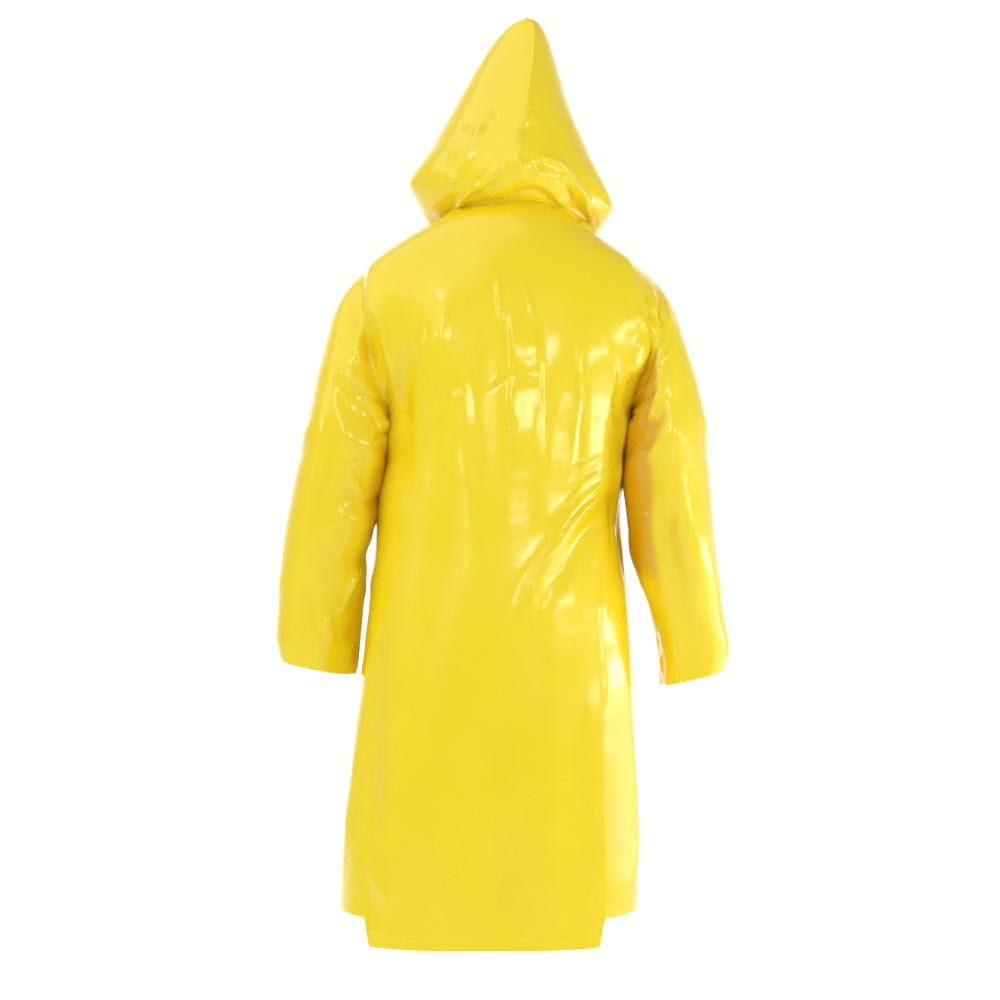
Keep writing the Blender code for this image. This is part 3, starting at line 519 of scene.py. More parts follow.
def trunk_point(angle, level, cell):
    power = 2.0 / cell["corner"]
    across = np.sign(np.cos(angle)) * np.abs(np.cos(angle)) ** power
    deep = np.abs(np.sin(angle)) ** power
    reach = np.where(np.sin(angle) > 0, cell["back_y"], cell["front_y"]) - cell["side_y"]
    x = cell["middle_x"] + cell["half_width"] * across
    y = cell["side_y"] + reach * deep
    towards_back = np.sin(angle)
    neck_lift = np.where(towards_back > 0, NECK_RISE_BACK, NECK_DROP_FRONT) * towards_back
    near_neck = smooth_step(1.0 + level / NECK_REACH)
    tail = smooth_step((TAIL_LEFT - x) / TAIL_STEP) * smooth_step((x - TAIL_RIGHT) / TAIL_STEP)
    near_hem = smooth_step((TAIL_LEVEL - level) / (TAIL_LEVEL - HEM_LEVEL))
    z = level + neck_lift * near_neck - TAIL_DROP * tail * near_hem**3 * (towards_back > 0)
    return np.stack([x, y, z], axis=-1)


def ring_angle(distance, level):
    half = trunk_at("half_width", level)
    corner = trunk_at("corner", level)
    return np.arccos(np.clip(distance / half, -1.0, 1.0) ** (corner / 2.0))


def levels():
    skirt = np.linspace(HEM_LEVEL, UNDERARM_LEVEL, SKIRT_ROWS + 1)[:-1]
    middle = (SHOULDER_LEVEL + UNDERARM_LEVEL) / 2
    half = (SHOULDER_LEVEL - UNDERARM_LEVEL) / 2
    armhole = middle - half * np.cos(np.linspace(0.0, np.pi, ARMHOLE_ROWS + 1))
    yoke = np.linspace(SHOULDER_LEVEL, 0.0, YOKE_ROWS + 1)[1:]
    return np.concatenate([skirt, armhole, yoke])


def side_angle(level, name):
    inside = (level > UNDERARM_LEVEL + SAME_PLACE) & (level < SHOULDER_LEVEL - SAME_PLACE)
    held = np.clip(level, UNDERARM_LEVEL, SHOULDER_LEVEL)
    seam = table_at(ARMHOLE, ARMHOLE_COLUMNS, name, held)
    return np.where(inside, ring_angle(seam, held), 0.0)


def steady_angle(level, name):
    offsets = np.linspace(-STEADY_REACH, STEADY_REACH, STEADY_SAMPLES)
    return sum(side_angle(level + offset, name) for offset in offsets) / STEADY_SAMPLES


def edge_pull(level, name, share):
    return (side_angle(level, name) - steady_angle(level, name)) * np.exp(-share / EDGE_SHARE)


def even_angles(level, start, end, shares):
    """Angles at shares of the ring's length between two angles, one row a level."""
    fine = np.linspace(0.0, 1.0, RING_STEPS)[None, :]
    angle = start + (end - start) * fine
    points = trunk_point(angle, level, ring_row(level))[..., :2]
    lengths = [lengths_to(steps) for steps in steps_along(points, 1)]
    return np.array([np.interp(shares * length[-1], length, row)
                     for length, row in zip(lengths, angle)])


def share_of(x):
    """Share of the back's length, from its left edge, at which the hem reaches x."""
    hem = np.array([[HEM_LEVEL]])
    middle = trunk_at("middle_x", HEM_LEVEL)
    turn = float(ring_angle(abs(x - middle), HEM_LEVEL))
    angle = turn if x > middle else np.pi - turn
    shares = np.linspace(0.0, 1.0, HEM_STEPS)
    angles = even_angles(hem, np.zeros((1, 1)), np.full((1, 1), np.pi), shares)[0]
    return float(np.interp(angle, angles, shares))


def back_panel():
    level = levels()[:, None]
    stops = (0.0, share_of(TAIL_LEFT), share_of(TAIL_LEFT - TAIL_STEP),
             share_of(TAIL_RIGHT + TAIL_STEP), share_of(TAIL_RIGHT), 1.0)
    share = np.concatenate([np.linspace(stop, following, count, endpoint=False)
                            for stop, following, count in zip(stops, stops[1:], BACK_STRETCHES)]
                           + [[1.0]])
    start = steady_angle(level, "back_left")
    end = np.pi - steady_angle(level, "back_right")
    angle = even_angles(level, start, end, share)
    angle += edge_pull(level, "back_left", share) - edge_pull(level, "back_right", 1.0 - share)
    return trunk_point(angle, level, ring_row(level))


def front_fractions():
    """Columns from a side edge to the lap, one of them where the hood's edge meets the neck."""
    neck = np.array([[0.0]])
    steady = steady_angle(neck, "front")
    lap = ring_angle(LAP, neck)
    shares = np.linspace(0.0, 1.0, LAP_STEPS)
    angles = even_angles(neck, 2 * np.pi - lap, 2 * np.pi - steady, shares)[0]
    edge = float(2 * np.pi - lap + (lap - steady) / HOOD_EDGE_PART)
    from_side = 1.0 - float(np.interp(edge, angles, shares))
    count = int(round(from_side * FRONT_COLUMNS))
    fractions = np.concatenate([np.linspace(0.0, from_side, count, endpoint=False),
                                np.linspace(from_side, 1.0, FRONT_COLUMNS - count,
                                            endpoint=False)])
    return fractions, count


def front_ring(fractions):
    """Both fronts, from the right side edge over the lap to the left side edge."""
    level = levels()[:, None]
    steady = steady_angle(level, "front")
    lap = ring_angle(LAP, level)
    right = even_angles(level, np.pi + steady, np.pi + lap, fractions)
    across = even_angles(level, np.pi + lap, 2 * np.pi - lap,
                         np.linspace(0.0, 1.0, LAP_COLUMNS, endpoint=False))
    left = even_angles(level, 2 * np.pi - steady, 2 * np.pi - lap,
                       np.concatenate([fractions, [1.0]]))[:, ::-1]
    angle = np.concatenate([right, across, left], axis=1)
    share = np.linspace(0.0, 1.0, angle.shape[1])
    angle += edge_pull(level, "front", share) - edge_pull(level, "front", 1.0 - share)
    return trunk_point(angle, level, ring_row(level))


def fold_trunk(points, side):
    middle = trunk_at("middle_x", points[..., 2].clip(HEM_LEVEL, 0))
    outward = points * (FOLD_SIDEWAYS, 1.0, 0.0)
    outward[..., 0] -= middle * FOLD_SIDEWAYS
    outward /= np.linalg.norm(outward, axis=-1)[..., None]
    total = np.zeros(points.shape[:-1])
    for where, height, reach, *route in TRUNK_FOLDS:
        if where == side:
            away, passed, _ = route_distance(points[..., 0], points[..., 2], route, reach, reach)
            total += fold_height(away, passed, height)
    return points + outward * total[..., None]


def under_lap(points):
    middle = trunk_at("middle_x", levels()[:, None])
    covered = smooth_step((points[..., 0] - middle + LAP + LAP_MARGIN + LAP_FADE) / LAP_FADE)
    dipped = points.copy()
    dipped[..., 1] += covered * LAP_DIP
    return dipped


def armhole_loop(back, front, back_edge, front_edge):
    rows = slice(SKIRT_ROWS, SKIRT_ROWS + ARMHOLE_ROWS + 1)
    down = back[rows, back_edge][::-1]
    up = front[rows, front_edge]
    return np.concatenate([down, up[1:]])


def sleeve_ring(row, count):
    cell = dict(zip(SLEEVE_COLUMNS, row))
    turn = np.linspace(0.0, 2 * np.pi, count)
    outward = (1 + np.cos(turn)) / 2
    x = cell["inner_x"] + (cell["outer_x"] - cell["inner_x"]) * outward
    x += cell["bow"] * np.sin(turn) ** 2
    y = cell["middle_y"] + cell["half_depth"] * np.sin(turn)
    z = cell["inner_z"] + (cell["outer_z"] - cell["inner_z"]) * outward
    return np.stack([x, y, z], axis=-1)


def fold_sleeve(points, folds):
    centre = points[:, :-1].mean(axis=1)[:, None, :]
    along = lengths_to(steps_along(centre[:, 0]))[:, None] * np.ones(points.shape[1])
    degrees = np.linspace(0.0, 360.0, points.shape[1])[None, :] * np.ones((len(points), 1))
    total = np.zeros(points.shape[:-1])
    for height, reach_along, reach_around, *route in folds:
        for turn in (0.0, 360.0):
            away, passed, _ = route_distance(along, degrees - turn, route,
                                             reach_along, reach_around)
            total += fold_height(away, passed, height)
    outward = points - centre
    outward /= np.linalg.norm(outward, axis=-1)[..., None]
    return points + outward * (total * smooth_step(along / SLEEVE_HEAD_FADE))[..., None]


def sleeve_panel(loop, rows, folds):
    curves = [loop] + [sleeve_ring(row, len(loop)) for row in rows]
    points = loft(curves, np.linspace(0.0, 1.0, SLEEVE_ROWS + 1))
    return fold_sleeve(points, folds)


def evened(points, count):
    """A curve's points, spread evenly along it."""
    lengths = lengths_to(steps_along(points))
    at = np.linspace(0.0, lengths[-1], count + 1)
    return np.stack([np.interp(at, lengths, points[:, axis]) for axis in range(3)], axis=-1)


def quarter(tip, side, turn, power=1.0):
    """Quarter of a round from its side to its tip; a power over 1 draws the tip out."""
    x = tip[0] + (side[0] - tip[0]) * np.cos(turn) ** power
    y = side[1] + (tip[1] - side[1]) * np.sin(turn)
    z = side[2] + (tip[2] - side[2]) * np.sin(turn)
    return np.stack([x, y, z], axis=-1)


def hood_half_row(cell, side, count):
    ridge = cell["ridge_x"], cell["ridge_y"], cell["ridge_z"]
    corner = cell[side + "_x"], cell["side_y"], cell[side + "_z"]
    edge_x = cell["edge_x"] if side == "left" else cell["edge_right_x"]
    edge = edge_x, cell["edge_y"], cell["edge_z"]
    turn = np.linspace(0.0, np.pi / 2, RING_STEPS)
    behind = evened(quarter(ridge, corner, turn[::-1], 2 / cell["roundness"]), BACK_COLUMNS // 2)
    ahead = evened(quarter(edge, corner, turn), count)
    return np.concatenate([behind, ahead[1:]])


def hood_row(row, count):
    cell = dict(zip(HOOD_COLUMNS, row))
    left = hood_half_row(cell, "left", count)
    right = hood_half_row(cell, "right", count)
    return np.concatenate([left[::-1], right[1:]])


def hood_grid(neckline, count):
    low = np.linspace(0.0, TUCK_SHARE, TUCK_ROWS + 1)
    high = np.linspace(TUCK_SHARE, 1.0, HOOD_ROWS - TUCK_ROWS + 1)[1:]
    return loft([neckline] + [hood_row(row, count) for row in HOOD],
                np.concatenate([low, high]))


def coat_panels():
    """Every panel's grid of points; rows go up the coat, columns so that faces look out."""
    fractions, hood_columns = front_fractions()
    back = fold_trunk(back_panel(), "back")
    front = fold_trunk(front_ring(fractions), "front")
    at_armhole = side_angle(levels(), "front")[:, None] > 0
    front[:, 0] = np.where(at_armhole, front[:, 0], back[:, -1])
    front[:, -1] = np.where(at_armhole, front[:, -1], back[:, 0])
    right = under_lap(front[:, :-FRONT_COLUMNS])
    left = front[:, FRONT_COLUMNS:]
    sleeve_left = sleeve_panel(armhole_loop(back, left, 0, -1), SLEEVE_LEFT, SLEEVE_LEFT_FOLDS)
    sleeve_right = sleeve_panel(armhole_loop(back, right, -1, 0), SLEEVE_RIGHT,
                                SLEEVE_RIGHT_FOLDS)
    neckline = np.concatenate([left[-1, -hood_columns - 1:-1], back[-1],
                               right[-1, 1:hood_columns + 1]])
    hood = hood_grid(neckline, hood_columns)
    ridge = hood_columns + BACK_COLUMNS // 2
    return {
        "back": back,
        "front_right": right,
        "front_left": left,
        "sleeve_left": sleeve_left[:, ::-1],
        "sleeve_right": sleeve_right,
        "hood_left": hood[:, :ridge + 1],
        "hood_right": hood[:, ridge:],
    }


def face_normals(points):
    """Outward normals of a grid's faces, twice as long as the faces are large."""
    return np.cross(points[:-1, 1:] - points[1:, :-1], points[1:, 1:] - points[:-1, :-1])


def shared_normals(panels):
    """Outward normals, summed over all panels that share a point."""
    sums, places = [], []
    for points in panels.values():
        faces = face_normals(points)
        total = np.zeros(points.shape)
        total[:-1, :-1] += faces
        total[:-1, 1:] += faces
        total[1:, :-1] += faces
        total[1:, 1:] += faces
        sums.append(total.reshape(-1, 3))
        places.append(np.round(points.reshape(-1, 3) / SAME_PLACE).astype(np.int64))
    _, index = np.unique(np.concatenate(places), axis=0, return_inverse=True)
    index = index.ravel()
    total = np.zeros((index.max() + 1, 3))
    np.add.at(total, index, np.concatenate(sums))
    found = total[index]
    found /= np.linalg.norm(found, axis=1)[:, None]
    normals, start = {}, 0
    for name, points in panels.items():
        count = points.shape[0] * points.shape[1]
        normals[name] = found[start:start + count].reshape(points.shape)
        start += count
    return normals


def waves(points, length, seed, stretch=(1.0, 1.0, 1.0)):
    """Soft random relief of unit size whose waves are about this long."""
    random = np.random.default_rng(seed)
    place = points * np.array(stretch)
    total = np.zeros(points.shape[:-1])
    for _ in range(WAVE_COUNT):
        direction = random.normal(size=3)
        direction /= np.linalg.norm(direction)
        pitch = length * random.uniform(*WAVE_SPREAD)
        total += np.sin(place @ direction * (2 * np.pi / pitch) + random.uniform(0, 2 * np.pi))
    return total * np.sqrt(2.0 / WAVE_COUNT)


def softened(route):
    """A route with its corners cut twice."""
    points = np.array(route, dtype=float)
    for _ in range(2):
        first = points[:-1] * 0.75 + points[1:] * 0.25
        second = points[:-1] * 0.25 + points[1:] * 0.75
        cut = np.stack([first, second], axis=1).reshape(-1, 2)
        points = np.concatenate([points[:1], cut[1:-1], points[-1:]])
    return points


def creases(first, second, rows):
    """Height of creases at places of the plane they are drawn in."""
    total = np.zeros(first.shape)
    share, along, shift = CREASE_UNEVEN
    for number, (height, reach_left, reach_right, crest, *route) in enumerate(rows):
        path = softened(route)
        margin = CREASE_REACH * max(reach_left, reach_right)
        near = ((first > path[:, 0].min() - margin) & (first < path[:, 0].max() + margin)
                & (second > path[:, 1].min() - margin) & (second < path[:, 1].max() + margin))
        if not near.any():
            continue
        away, passed, side = route_distance(first[near], second[near], path)
        away /= np.where(side > 0, reach_left, reach_right)
        uneven = 1.0 + share * np.sin(passed * along + number * shift)
        total[near] += height * np.exp(-away**crest) * uneven * rise(passed, CREASE_FADE,
                                                                     CREASE_FOOT)
    return total


def relief(points, normals):
    """How far the cloth stands out from its smooth form."""
    flat = points.reshape(-1, 3)
    facing = normals.reshape(-1, 3)
    warp = np.stack([waves(flat, WARP_LENGTH, seed) for seed in WARP_SEEDS], axis=-1)
    moved = flat + warp * WARP
    x, y, z = moved.T
    sideways, backwards = facing[:, 0], facing[:, 1]
    start, reach = FACING
    total = creases(x, z, BEHIND) * smooth_step((backwards + start) / reach)
    total += creases(x, z, AHEAD) * smooth_step((start - backwards) / reach)
    start, reach = FACING_SIDE
    total += creases(y, z, BESIDE_LEFT) * smooth_step((sideways - start) / reach)
    total += creases(y, z, BESIDE_RIGHT) * smooth_step((-start - sideways) / reach)
    puff = np.full(len(flat), CALM)
    for px, py, pz, radius, strength in ROW_PUFF:
        away = np.linalg.norm(flat - (px, py, pz), axis=1) / radius
        puff = np.maximum(puff, strength * np.exp(-away**2))
    low, more = MIDDLE_HEIGHT
    total += waves(flat, *BROAD_WAVES) * BROAD_HEIGHT
    total += waves(moved, *MIDDLE_WAVES) * (low + more * puff)
    total -= np.abs(waves(moved, *SMALL_WAVES)) * SMALL_HEIGHT * puff
    start, reach = TOUCH_FACING
    for px, py, pz, radius, height in TOUCH:
        away = np.linalg.norm(flat - (px, py, pz), axis=1) / radius
        total += height * np.exp(-away**4) * smooth_step((np.abs(sideways) - start) / reach)
    return total.reshape(points.shape[:-1])


def painted_shade_share(name, points, normals):
    """Share of painted shade, from 0 to 1, by how far a place lies in the narrow space between a
    sleeve and the trunk.
    """
    if name not in PAINTED_SHADE_ZONES:
        return np.zeros(points.shape[:-1])
    z = points[..., 2]
    inward = normals[..., 0] * (-1.0 if name == "sleeve_left" else 1.0)
    low, high, start, full = PAINTED_SHADE_ZONES[name]
    fade_low, fade_high = PAINTED_SHADE_FADE
    along = smooth_step((z - low) / fade_low) * smooth_step((high - z) / fade_high)
    return along * smooth_step((inward - start) / (full - start))


def edge_distance(points, axis, last):
    """Distance along a grid's rows or columns from its first or last line."""
    steps = steps_along(points, axis)
    if last:
        steps = np.flip(steps, axis)
    lengths = np.cumsum(steps, axis=axis)
    start = np.zeros_like(np.take(lengths, [0], axis=axis))
    lengths = np.concatenate([start, lengths], axis=axis)
    return np.flip(lengths, axis) if last else lengths


# Open edges and seams of each panel: (axis, last) of a grid's lines.
OPEN_EDGES = {
    "back": ((0, False),),
    "front_right": ((0, False), (1, True)),
    "front_left": ((0, False), (1, False)),
    "sleeve_left": ((0, True),),
    "sleeve_right": ((0, True),),
    "hood_left": ((1, False),),
    "hood_right": ((1, True),),
}
SEAMS = {
    "back": ((0, True), (1, False), (1, True)),
    "front_right": ((0, True), (1, False)),
    "front_left": ((0, True), (1, True)),
    "sleeve_left": ((0, False),),
    "sleeve_right": ((0, False),),
    "hood_left": ((0, False), (1, True)),
    "hood_right": ((0, False), (1, False)),
}


def placed(name, data):
    made = bpy.data.objects.new(name, data)
    bpy.context.scene.collection.objects.link(made)
    return made


def mesh_of(name, points, faces):
    mesh = bpy.data.meshes.new(name)
    mesh.from_pydata(points, [], faces)
    mesh.shade_smooth()
    return mesh


def shell(name, points, normals, depth, painted_shade):
    """Thin closed shell on a panel's grid, with its own smooth normals on both faces."""
    closed = name.startswith("sleeve")
    open_mm = np.min([edge_distance(points, *line) for line in OPEN_EDGES[name]], axis=0)
    seam_mm = np.min([edge_distance(points, *line) for line in SEAMS[name]], axis=0)
    rows, places = points.shape[:2]
    if closed:
        places -= 1
    outer = points[:, :places].reshape(-1, 3)
    facing = normals[:, :places].reshape(-1, 3)
    inner = outer - facing * CLOTH
    count = len(outer)
    index = np.arange(count).reshape(rows, places)
    if closed:
        index = np.concatenate([index, index[:, :1]], axis=1)
    low_left, low_right = index[:-1, :-1].ravel(), index[:-1, 1:].ravel()
    high_left, high_right = index[1:, :-1].ravel(), index[1:, 1:].ravel()
    skin = np.stack([low_left, low_right, high_right, high_left], axis=1)
    lining = skin[:, ::-1] + count
    rims = [np.stack([index[0, 1:], index[0, :-1]], axis=1),
            np.stack([index[-1, :-1], index[-1, 1:]], axis=1)]
    if not closed:
        rims.append(np.stack([index[:-1, 0], index[1:, 0]], axis=1))
        rims.append(np.stack([index[1:, -1], index[:-1, -1]], axis=1))
    rim = np.concatenate(rims)
    rim = np.stack([rim[:, 0], rim[:, 1], rim[:, 1] + count, rim[:, 0] + count], axis=1)
    faces = np.concatenate([skin, lining, rim])
    everywhere = np.concatenate([outer, inner])
    mesh = mesh_of(name + "_cloth", (everywhere * MM).tolist(), faces.tolist())
    lined = (np.arange(len(faces)) // len(skin) == 1).astype(int)
    mesh.polygons.foreach_set("material_index", lined)
    rim_faces = np.cross(everywhere[rim[:, 2]] - everywhere[rim[:, 0]],
                         everywhere[rim[:, 3]] - everywhere[rim[:, 1]])
    size = np.linalg.norm(rim_faces, axis=1)[:, None]
    rim_faces = rim_faces / np.where(size > 0, size, 1.0)
    loops = np.concatenate([facing[skin.ravel()], -facing[lining.ravel() - count],
                            np.repeat(rim_faces, 4, axis=0)])
    mesh.normals_split_custom_set(loops.tolist())
    for attribute, values in (("open_mm", open_mm), ("seam_mm", seam_mm), ("depth_mm", depth),
                              ("painted_shade", painted_shade)):
        made = mesh.attributes.new(attribute, "FLOAT", "POINT")
        made.data.foreach_set("value", np.tile(values[:, :places].ravel(), 2).astype(np.float32))
    return placed(name + "_cloth", mesh)


# Darker and paler shade of each surface
COAT_COLOURS = ((0.94, 0.715, 0.008, 1), (0.95, 0.735, 0.01, 1))
# Painted shade: darker orange painted into the hollows of the relief
COAT_PAINTED_HOLLOW_SHADE = (0.90, 0.60, 0.004, 1)
# Painted highlight: paler yellow painted onto the crests of the relief
COAT_PAINTED_CREST_HIGHLIGHT = (0.975, 0.84, 0.06, 1)
# Painted shade: deep orange painted into the space between a sleeve and the trunk
COAT_PAINTED_SHADE = (0.74, 0.37, 0.001, 1)
LINING_COLOURS = ((0.90, 0.66, 0.02, 1), (0.93, 0.72, 0.035, 1))
SNAP_COLOURS = ((0.76, 0.53, 0.015, 1), (0.80, 0.58, 0.025, 1))
FLOOR_COLOURS = ((0.90, 0.90, 0.90, 1), (0.92, 0.92, 0.92, 1))
COAT_IOR = 1.42
WEAVE_SCALE = 320.0
TONE = (0.3, 0.7)         # range of a noise that runs from the darker shade to the paler one
SEAM_BAND = (7.2, 8.0)    # mm from the seam at which its welded band ends
SEAM_LINE = 0.3
HEM_BAND = (20.5, 21.5)   # mm from an open edge at which its turned hem ends
CRUMPLE = (26.0, 3.0, 0.55, 0.4)


class Nodes:
    """A material's node tree, with short calls to fill it."""

    def __init__(self, name):
        self.material = bpy.data.materials.new(name)
        self.material.use_nodes = True
        self.tree = self.material.node_tree
        self.shader = self.tree.nodes["Principled BSDF"]
        self.place = self.add("ShaderNodeTexCoord").outputs["Object"]

    def add(self, kind, **values):
        node = self.tree.nodes.new(kind)
        for name, value in values.items():
            setattr(node, name, value)
        return node

    def put(self, value, socket):
        if isinstance(value, (int, float, tuple)):
            socket.default_value = value
        else:
            self.tree.links.new(value, socket)

    def feed(self, name, value):
        self.put(value, self.shader.inputs[name])

    def noise(self, scale, detail=3.0, rough=0.5, distortion=0.0):
        node = self.add("ShaderNodeTexNoise")
        for name, value in (("Vector", self.place), ("Scale", scale), ("Detail", detail),
                            ("Roughness", rough), ("Distortion", distortion)):
            self.put(value, node.inputs[name])
        return node.outputs["Fac"]

    def ranged(self, value, low, high, to_low, to_high):
        node = self.add("ShaderNodeMapRange", interpolation_type="SMOOTHSTEP")
        for place, entry in enumerate((value, low, high, to_low, to_high)):
            self.put(entry, node.inputs[place])
        return node.outputs["Result"]

    def math(self, operation, first, second=0.0):
        node = self.add("ShaderNodeMath", operation=operation)
        self.put(first, node.inputs[0])
        self.put(second, node.inputs[1])
        return node.outputs["Value"]

    def mixed(self, share, first, second):
        node = self.add("ShaderNodeMix", data_type="RGBA")
        self.put(share, node.inputs["Factor"])
        self.put(first, node.inputs["A"])
        self.put(second, node.inputs["B"])
        return node.outputs["Result"]

    def shaded(self, tone, colours):
        return self.mixed(self.ranged(tone, *TONE, 0.0, 1.0), *colours)

    def attribute(self, name):
        return self.add("ShaderNodeAttribute", attribute_name=name).outputs["Fac"]

    def bump(self, height, distance, strength, onto=None):
        node = self.add("ShaderNodeBump")
        node.inputs["Distance"].default_value = distance
        node.inputs["Strength"].default_value = strength
        self.put(height, node.inputs["Height"])
        if onto is not None:
            self.put(onto, node.inputs["Normal"])
        return node.outputs["Normal"]


def coat_material():
    """Glossy coated cloth: orange-peel, seam bands, scuffs, grain; painted shade in hollows and by
    the sleeves, painted highlight on crests.
    """
    made = Nodes("glossy_yellow_cloth")
    depth = made.attribute("depth_mm")
    seam = made.attribute("seam_mm")
    edge = made.attribute("open_mm")
    tone = made.noise(7.0, 4.0, 0.55)
    worn = made.noise(60.0, 5.0, 0.6)
    colour = made.shaded(tone, COAT_COLOURS)
    # Painted shade: darker orange painted into hollows, stronger the deeper the relief sinks
    colour = made.mixed(made.ranged(depth, -1.0, -8.0, 0.0, 0.45), colour, COAT_PAINTED_HOLLOW_SHADE)
    # Painted highlight: paler yellow painted onto crests, stronger the higher the relief stands
    colour = made.mixed(made.ranged(depth, 3.0, 9.0, 0.0, 0.35), colour, COAT_PAINTED_CREST_HIGHLIGHT)
    # Painted shade: deep orange painted between sleeve and trunk, by the share computed for each
    # point
    painted_shade = made.ranged(made.attribute("painted_shade"), 0.0, 1.0, 0.0, 0.9)
    made.feed("Base Color", made.mixed(painted_shade, colour, COAT_PAINTED_SHADE))
    scuffs = made.ranged(worn, 0.52, 0.75, 0.0, 0.05)
    made.feed("Roughness", made.math("ADD", made.ranged(tone, 0.25, 0.75, 0.22, 0.27), scuffs))
    made.feed("Coat Weight", 0.7)
    made.feed("Coat Roughness", 0.09)
    made.feed("IOR", COAT_IOR)
    made.feed("Coat IOR", COAT_IOR)
    peel = made.noise(110.0, 2.0, 0.5)
    crumple = made.noise(*CRUMPLE)
    grain = made.noise(900.0, 2.0, 0.5)
    band = made.ranged(seam, *SEAM_BAND, 0.0, 1.0)
    from_line = made.math("ABSOLUTE", made.math("SUBTRACT", seam, SEAM_LINE))
    groove = made.ranged(from_line, 0.0, 1.0, 0.0, 1.0)
    hem = made.ranged(edge, *HEM_BAND, 1.0, 0.0)
    normal = None
    for height, distance, strength in ((crumple, 0.0008, 0.3), (peel, 0.0002, 0.5),
                                       (grain, 0.00005, 0.5), (band, 0.0003, 0.8),
                                       (groove, 0.0004, 0.8), (hem, 0.0004, 0.8)):
        normal = made.bump(height, distance, strength, normal)
    made.feed("Normal", normal)
    made.feed("Coat Normal", normal)
    return made.material


def lining_material():
    """The uncoated inner face: duller, with the cloth's fine plain weave."""
    made = Nodes("inner_cloth")
    tone = made.noise(9.0, 4.0, 0.6)
    made.feed("Base Color", made.shaded(tone, LINING_COLOURS))
    made.feed("Roughness", made.ranged(tone, *TONE, 0.5, 0.62))
    weave = []
    for axis in ("X", "Z"):
        wave = made.add("ShaderNodeTexWave", wave_type="BANDS", bands_direction=axis)
        made.put(made.place, wave.inputs["Vector"])
        wave.inputs["Scale"].default_value = WEAVE_SCALE
        weave.append(wave.outputs["Fac"])
    threads = made.math("MULTIPLY", *weave)
    normal = made.bump(made.noise(*CRUMPLE), 0.002, 0.5)
    made.feed("Normal", made.bump(threads, 0.00012, 0.6, normal))
    return made.material


def snap_material():
    """Moulded plastic of the snaps: satin, finely pitted, a shade darker than the cloth."""
    made = Nodes("snap_plastic")
    tone = made.noise(120.0, 3.0, 0.5)
    made.feed("Base Color", made.shaded(tone, SNAP_COLOURS))
    made.feed("Roughness", made.ranged(tone, *TONE, 0.26, 0.36))
    made.feed("Normal", made.bump(made.noise(1500.0, 2.0), 0.00004, 0.6))
    return made.material


# A snap's cap, from its foot to its middle: radius and height.
SNAP_PROFILE = ((7.5, -0.3), (7.5, 0.55), (7.35, 0.85), (7.0, 1.02), (6.3, 1.08), (5.9, 1.02),
                (5.6, 0.98), (5.3, 1.06), (4.9, 1.4), (4.3, 1.74), (3.5, 2.02), (2.6, 2.2),
                (2.2, 2.22), (1.9, 2.12), (1.2, 2.06), (0.5, 2.05))
SNAP_SIDES = 56
SNAPS = 5


def snap_cap(name, centre, outward):
    across = np.cross(outward, (0.0, 0.0, 1.0))
    across /= np.linalg.norm(across)
    upward = np.cross(outward, across)
    turn = np.linspace(0.0, 2 * np.pi, SNAP_SIDES, endpoint=False)[:, None]
    around = across * np.cos(turn) + upward * np.sin(turn)
    points = np.concatenate([centre + outward * height + around * radius
                             for radius, height in SNAP_PROFILE])
    faces = []
    top = (len(SNAP_PROFILE) - 1) * SNAP_SIDES
    for low in range(0, top, SNAP_SIDES):
        for side in range(SNAP_SIDES):
            following = low + (side + 1) % SNAP_SIDES
            faces.append((low + side, following, following + SNAP_SIDES, low + side + SNAP_SIDES))
    faces.append(tuple(range(SNAP_SIDES))[::-1])
    faces.append(tuple(range(top, top + SNAP_SIDES)))
    return placed(name, mesh_of(name, (points * MM).tolist(), faces))


def add_area(name, size, place, aim, power):
    data = bpy.data.lights.new(name, "AREA")
    data.shape = "RECTANGLE"
    data.size, data.size_y = size
    data.energy = power
    made = placed(name, data)
    made.location = place
    made.rotation_euler = (Vector(aim) - Vector(place)).to_track_quat("-Z", "Y").to_euler()


# Soft boxes around the back: x, y, z, width, height, power for each square metre.
SOFT_BOXES = (
    (-0.60, 3.1, -0.04, 0.80, 0.40, 27),
    (-1.80, 1.80, -0.31, 0.85, 0.24, 25),
    (-2.00, 0.05, -0.64, 1.50, 0.24, 22),
    (1.10, 2.9, -0.17, 0.30, 0.24, 7),
    (1.33, 2.7, 0.35, 0.32, 0.90, 24),
    (2.60, 0.9, 0.13, 0.50, 0.20, 24),
)
BOX_AIM = (0.0, 0.0, -0.28)
FLOOR_LEVEL = -1.6
FLOOR_NEAR = 6.0
FLOOR_HALF_WIDTH = 6.0
BACKDROP_PLACE = -3.4
BACKDROP_TOP = 5.0
BACKDROP_BEND = 1.2
BACKDROP_STEPS = 13
WORLD_STRENGTH = 0.375
CAMERA_PLACE = (0.0272, 3.0, -0.445)
CAMERA_LENS = 67.5


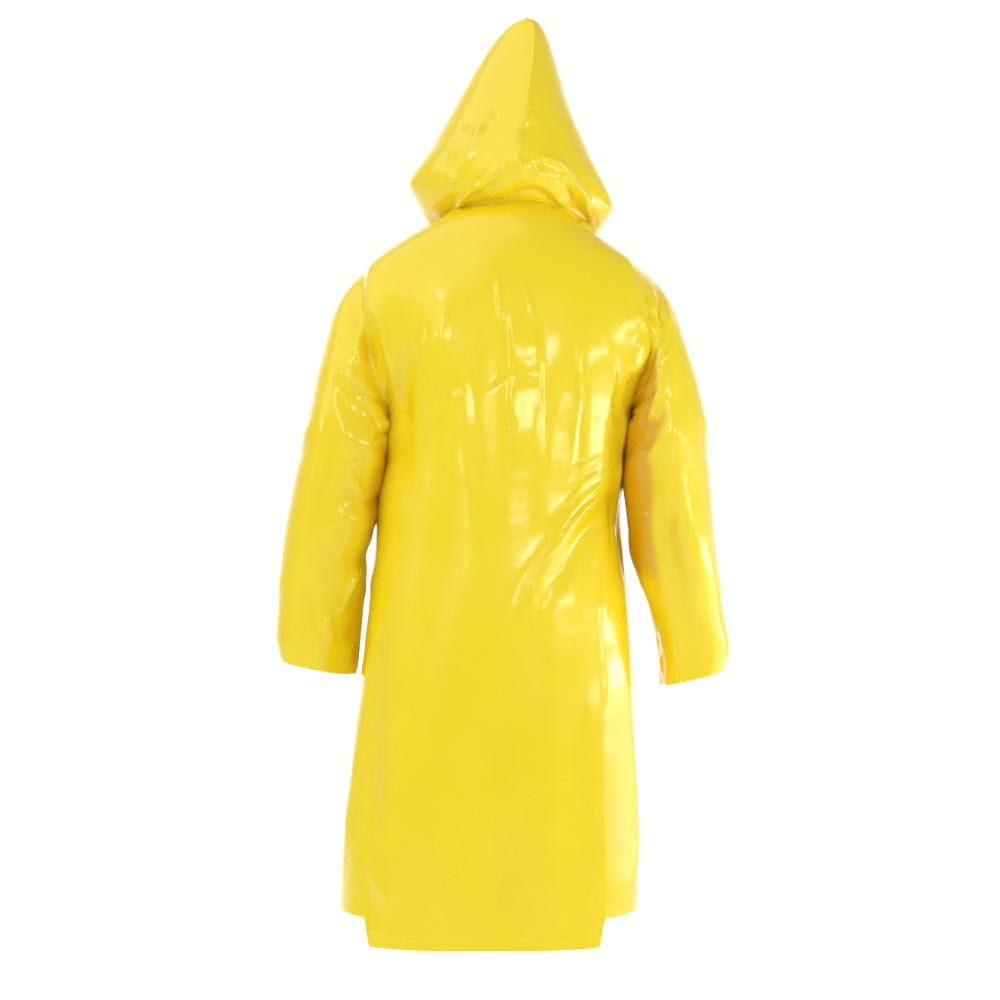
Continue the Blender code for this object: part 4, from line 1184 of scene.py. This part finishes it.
def studio():
    """Pale floor that rises into a backdrop, soft lights and the camera behind the coat."""
    turn = np.linspace(0.0, np.pi / 2, BACKDROP_STEPS)
    profile = [(FLOOR_NEAR, FLOOR_LEVEL)]
    profile += zip(BACKDROP_PLACE + BACKDROP_BEND * (1 - np.sin(turn)),
                   FLOOR_LEVEL + BACKDROP_BEND * (1 - np.cos(turn)))
    profile += [(BACKDROP_PLACE, BACKDROP_TOP)]
    points = [(x, y, z) for y, z in profile for x in (-FLOOR_HALF_WIDTH, FLOOR_HALF_WIDTH)]
    faces = [(low, low + 1, low + 3, low + 2) for low in range(0, len(points) - 2, 2)]
    mesh = mesh_of("floor", points, faces)
    made = Nodes("pale_floor")
    made.feed("Base Color", made.mixed(made.noise(1.5, 2.0), *FLOOR_COLOURS))
    made.feed("Roughness", 0.9)
    mesh.materials.append(made.material)
    placed("floor", mesh)
    world = bpy.data.worlds.new("studio")
    world.use_nodes = True
    background = world.node_tree.nodes["Background"].inputs
    background["Color"].default_value = (1, 1, 1, 1)
    background["Strength"].default_value = WORLD_STRENGTH
    bpy.context.scene.world = world
    add_area("overhead", size=(10.0, 7.0), place=(3.2, 2.4, 3.6), aim=(0.0, 0.0, -0.3),
             power=208.0)
    add_area("right_wall", size=(2.4, 0.96), place=(-2.1, 0.05, -0.92), aim=(0.0, 0.0, -0.8),
             power=11.0)
    for number, (x, y, z, width, height, power) in enumerate(SOFT_BOXES):
        add_area(f"soft_box_{number}", (width, height), (x, y, z), BOX_AIM, power * width * height)
    add_area("backdrop_light", size=(5.0, 1.6), place=(0.0, -1.6, 1.9), aim=(0.0, -3.6, 0.6),
             power=110.0)
    camera = bpy.data.cameras.new("camera")
    camera.lens = CAMERA_LENS
    made = placed("camera", camera)
    made.location = CAMERA_PLACE
    made.rotation_euler = (np.pi / 2, 0.0, np.pi)
    bpy.context.scene.camera = made
    bpy.context.scene.view_settings.view_transform = "Standard"


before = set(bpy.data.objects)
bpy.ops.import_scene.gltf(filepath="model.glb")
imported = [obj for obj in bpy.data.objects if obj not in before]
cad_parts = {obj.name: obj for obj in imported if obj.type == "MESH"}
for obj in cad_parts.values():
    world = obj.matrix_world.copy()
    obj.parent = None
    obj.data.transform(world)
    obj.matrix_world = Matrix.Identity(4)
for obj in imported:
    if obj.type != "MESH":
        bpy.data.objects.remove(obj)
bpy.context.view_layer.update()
smooth = coat_panels()
smooth_normals = shared_normals(smooth)
panels, depths = {}, {}
for name, points in smooth.items():
    depths[name] = relief(points, smooth_normals[name])
    panels[name] = points + smooth_normals[name] * depths[name][..., None]
normals = shared_normals(panels)
coat = coat_material()
lining = lining_material()
for name, points in panels.items():
    piece = shell(name, points, normals[name], depths[name],
                  painted_shade_share(name, points, smooth_normals[name]))
    piece.data.materials.append(coat)
    piece.data.materials.append(lining)
    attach(piece, "root")
    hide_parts(name)

plastic = snap_material()
front = panels["front_left"]
for number in range(1, SNAPS + 1):
    node = f"snap_{number}"
    low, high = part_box(node)
    middle = np.array((low + high) / 2) / MM
    near = np.unravel_index(np.argmin(np.linalg.norm(front - middle, axis=-1)), front.shape[:2])
    cap = snap_cap(node + "_cap", front[near], normals["front_left"][near])
    cap.data.materials.append(plastic)
    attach(cap, "root")
    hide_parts(node)

studio()
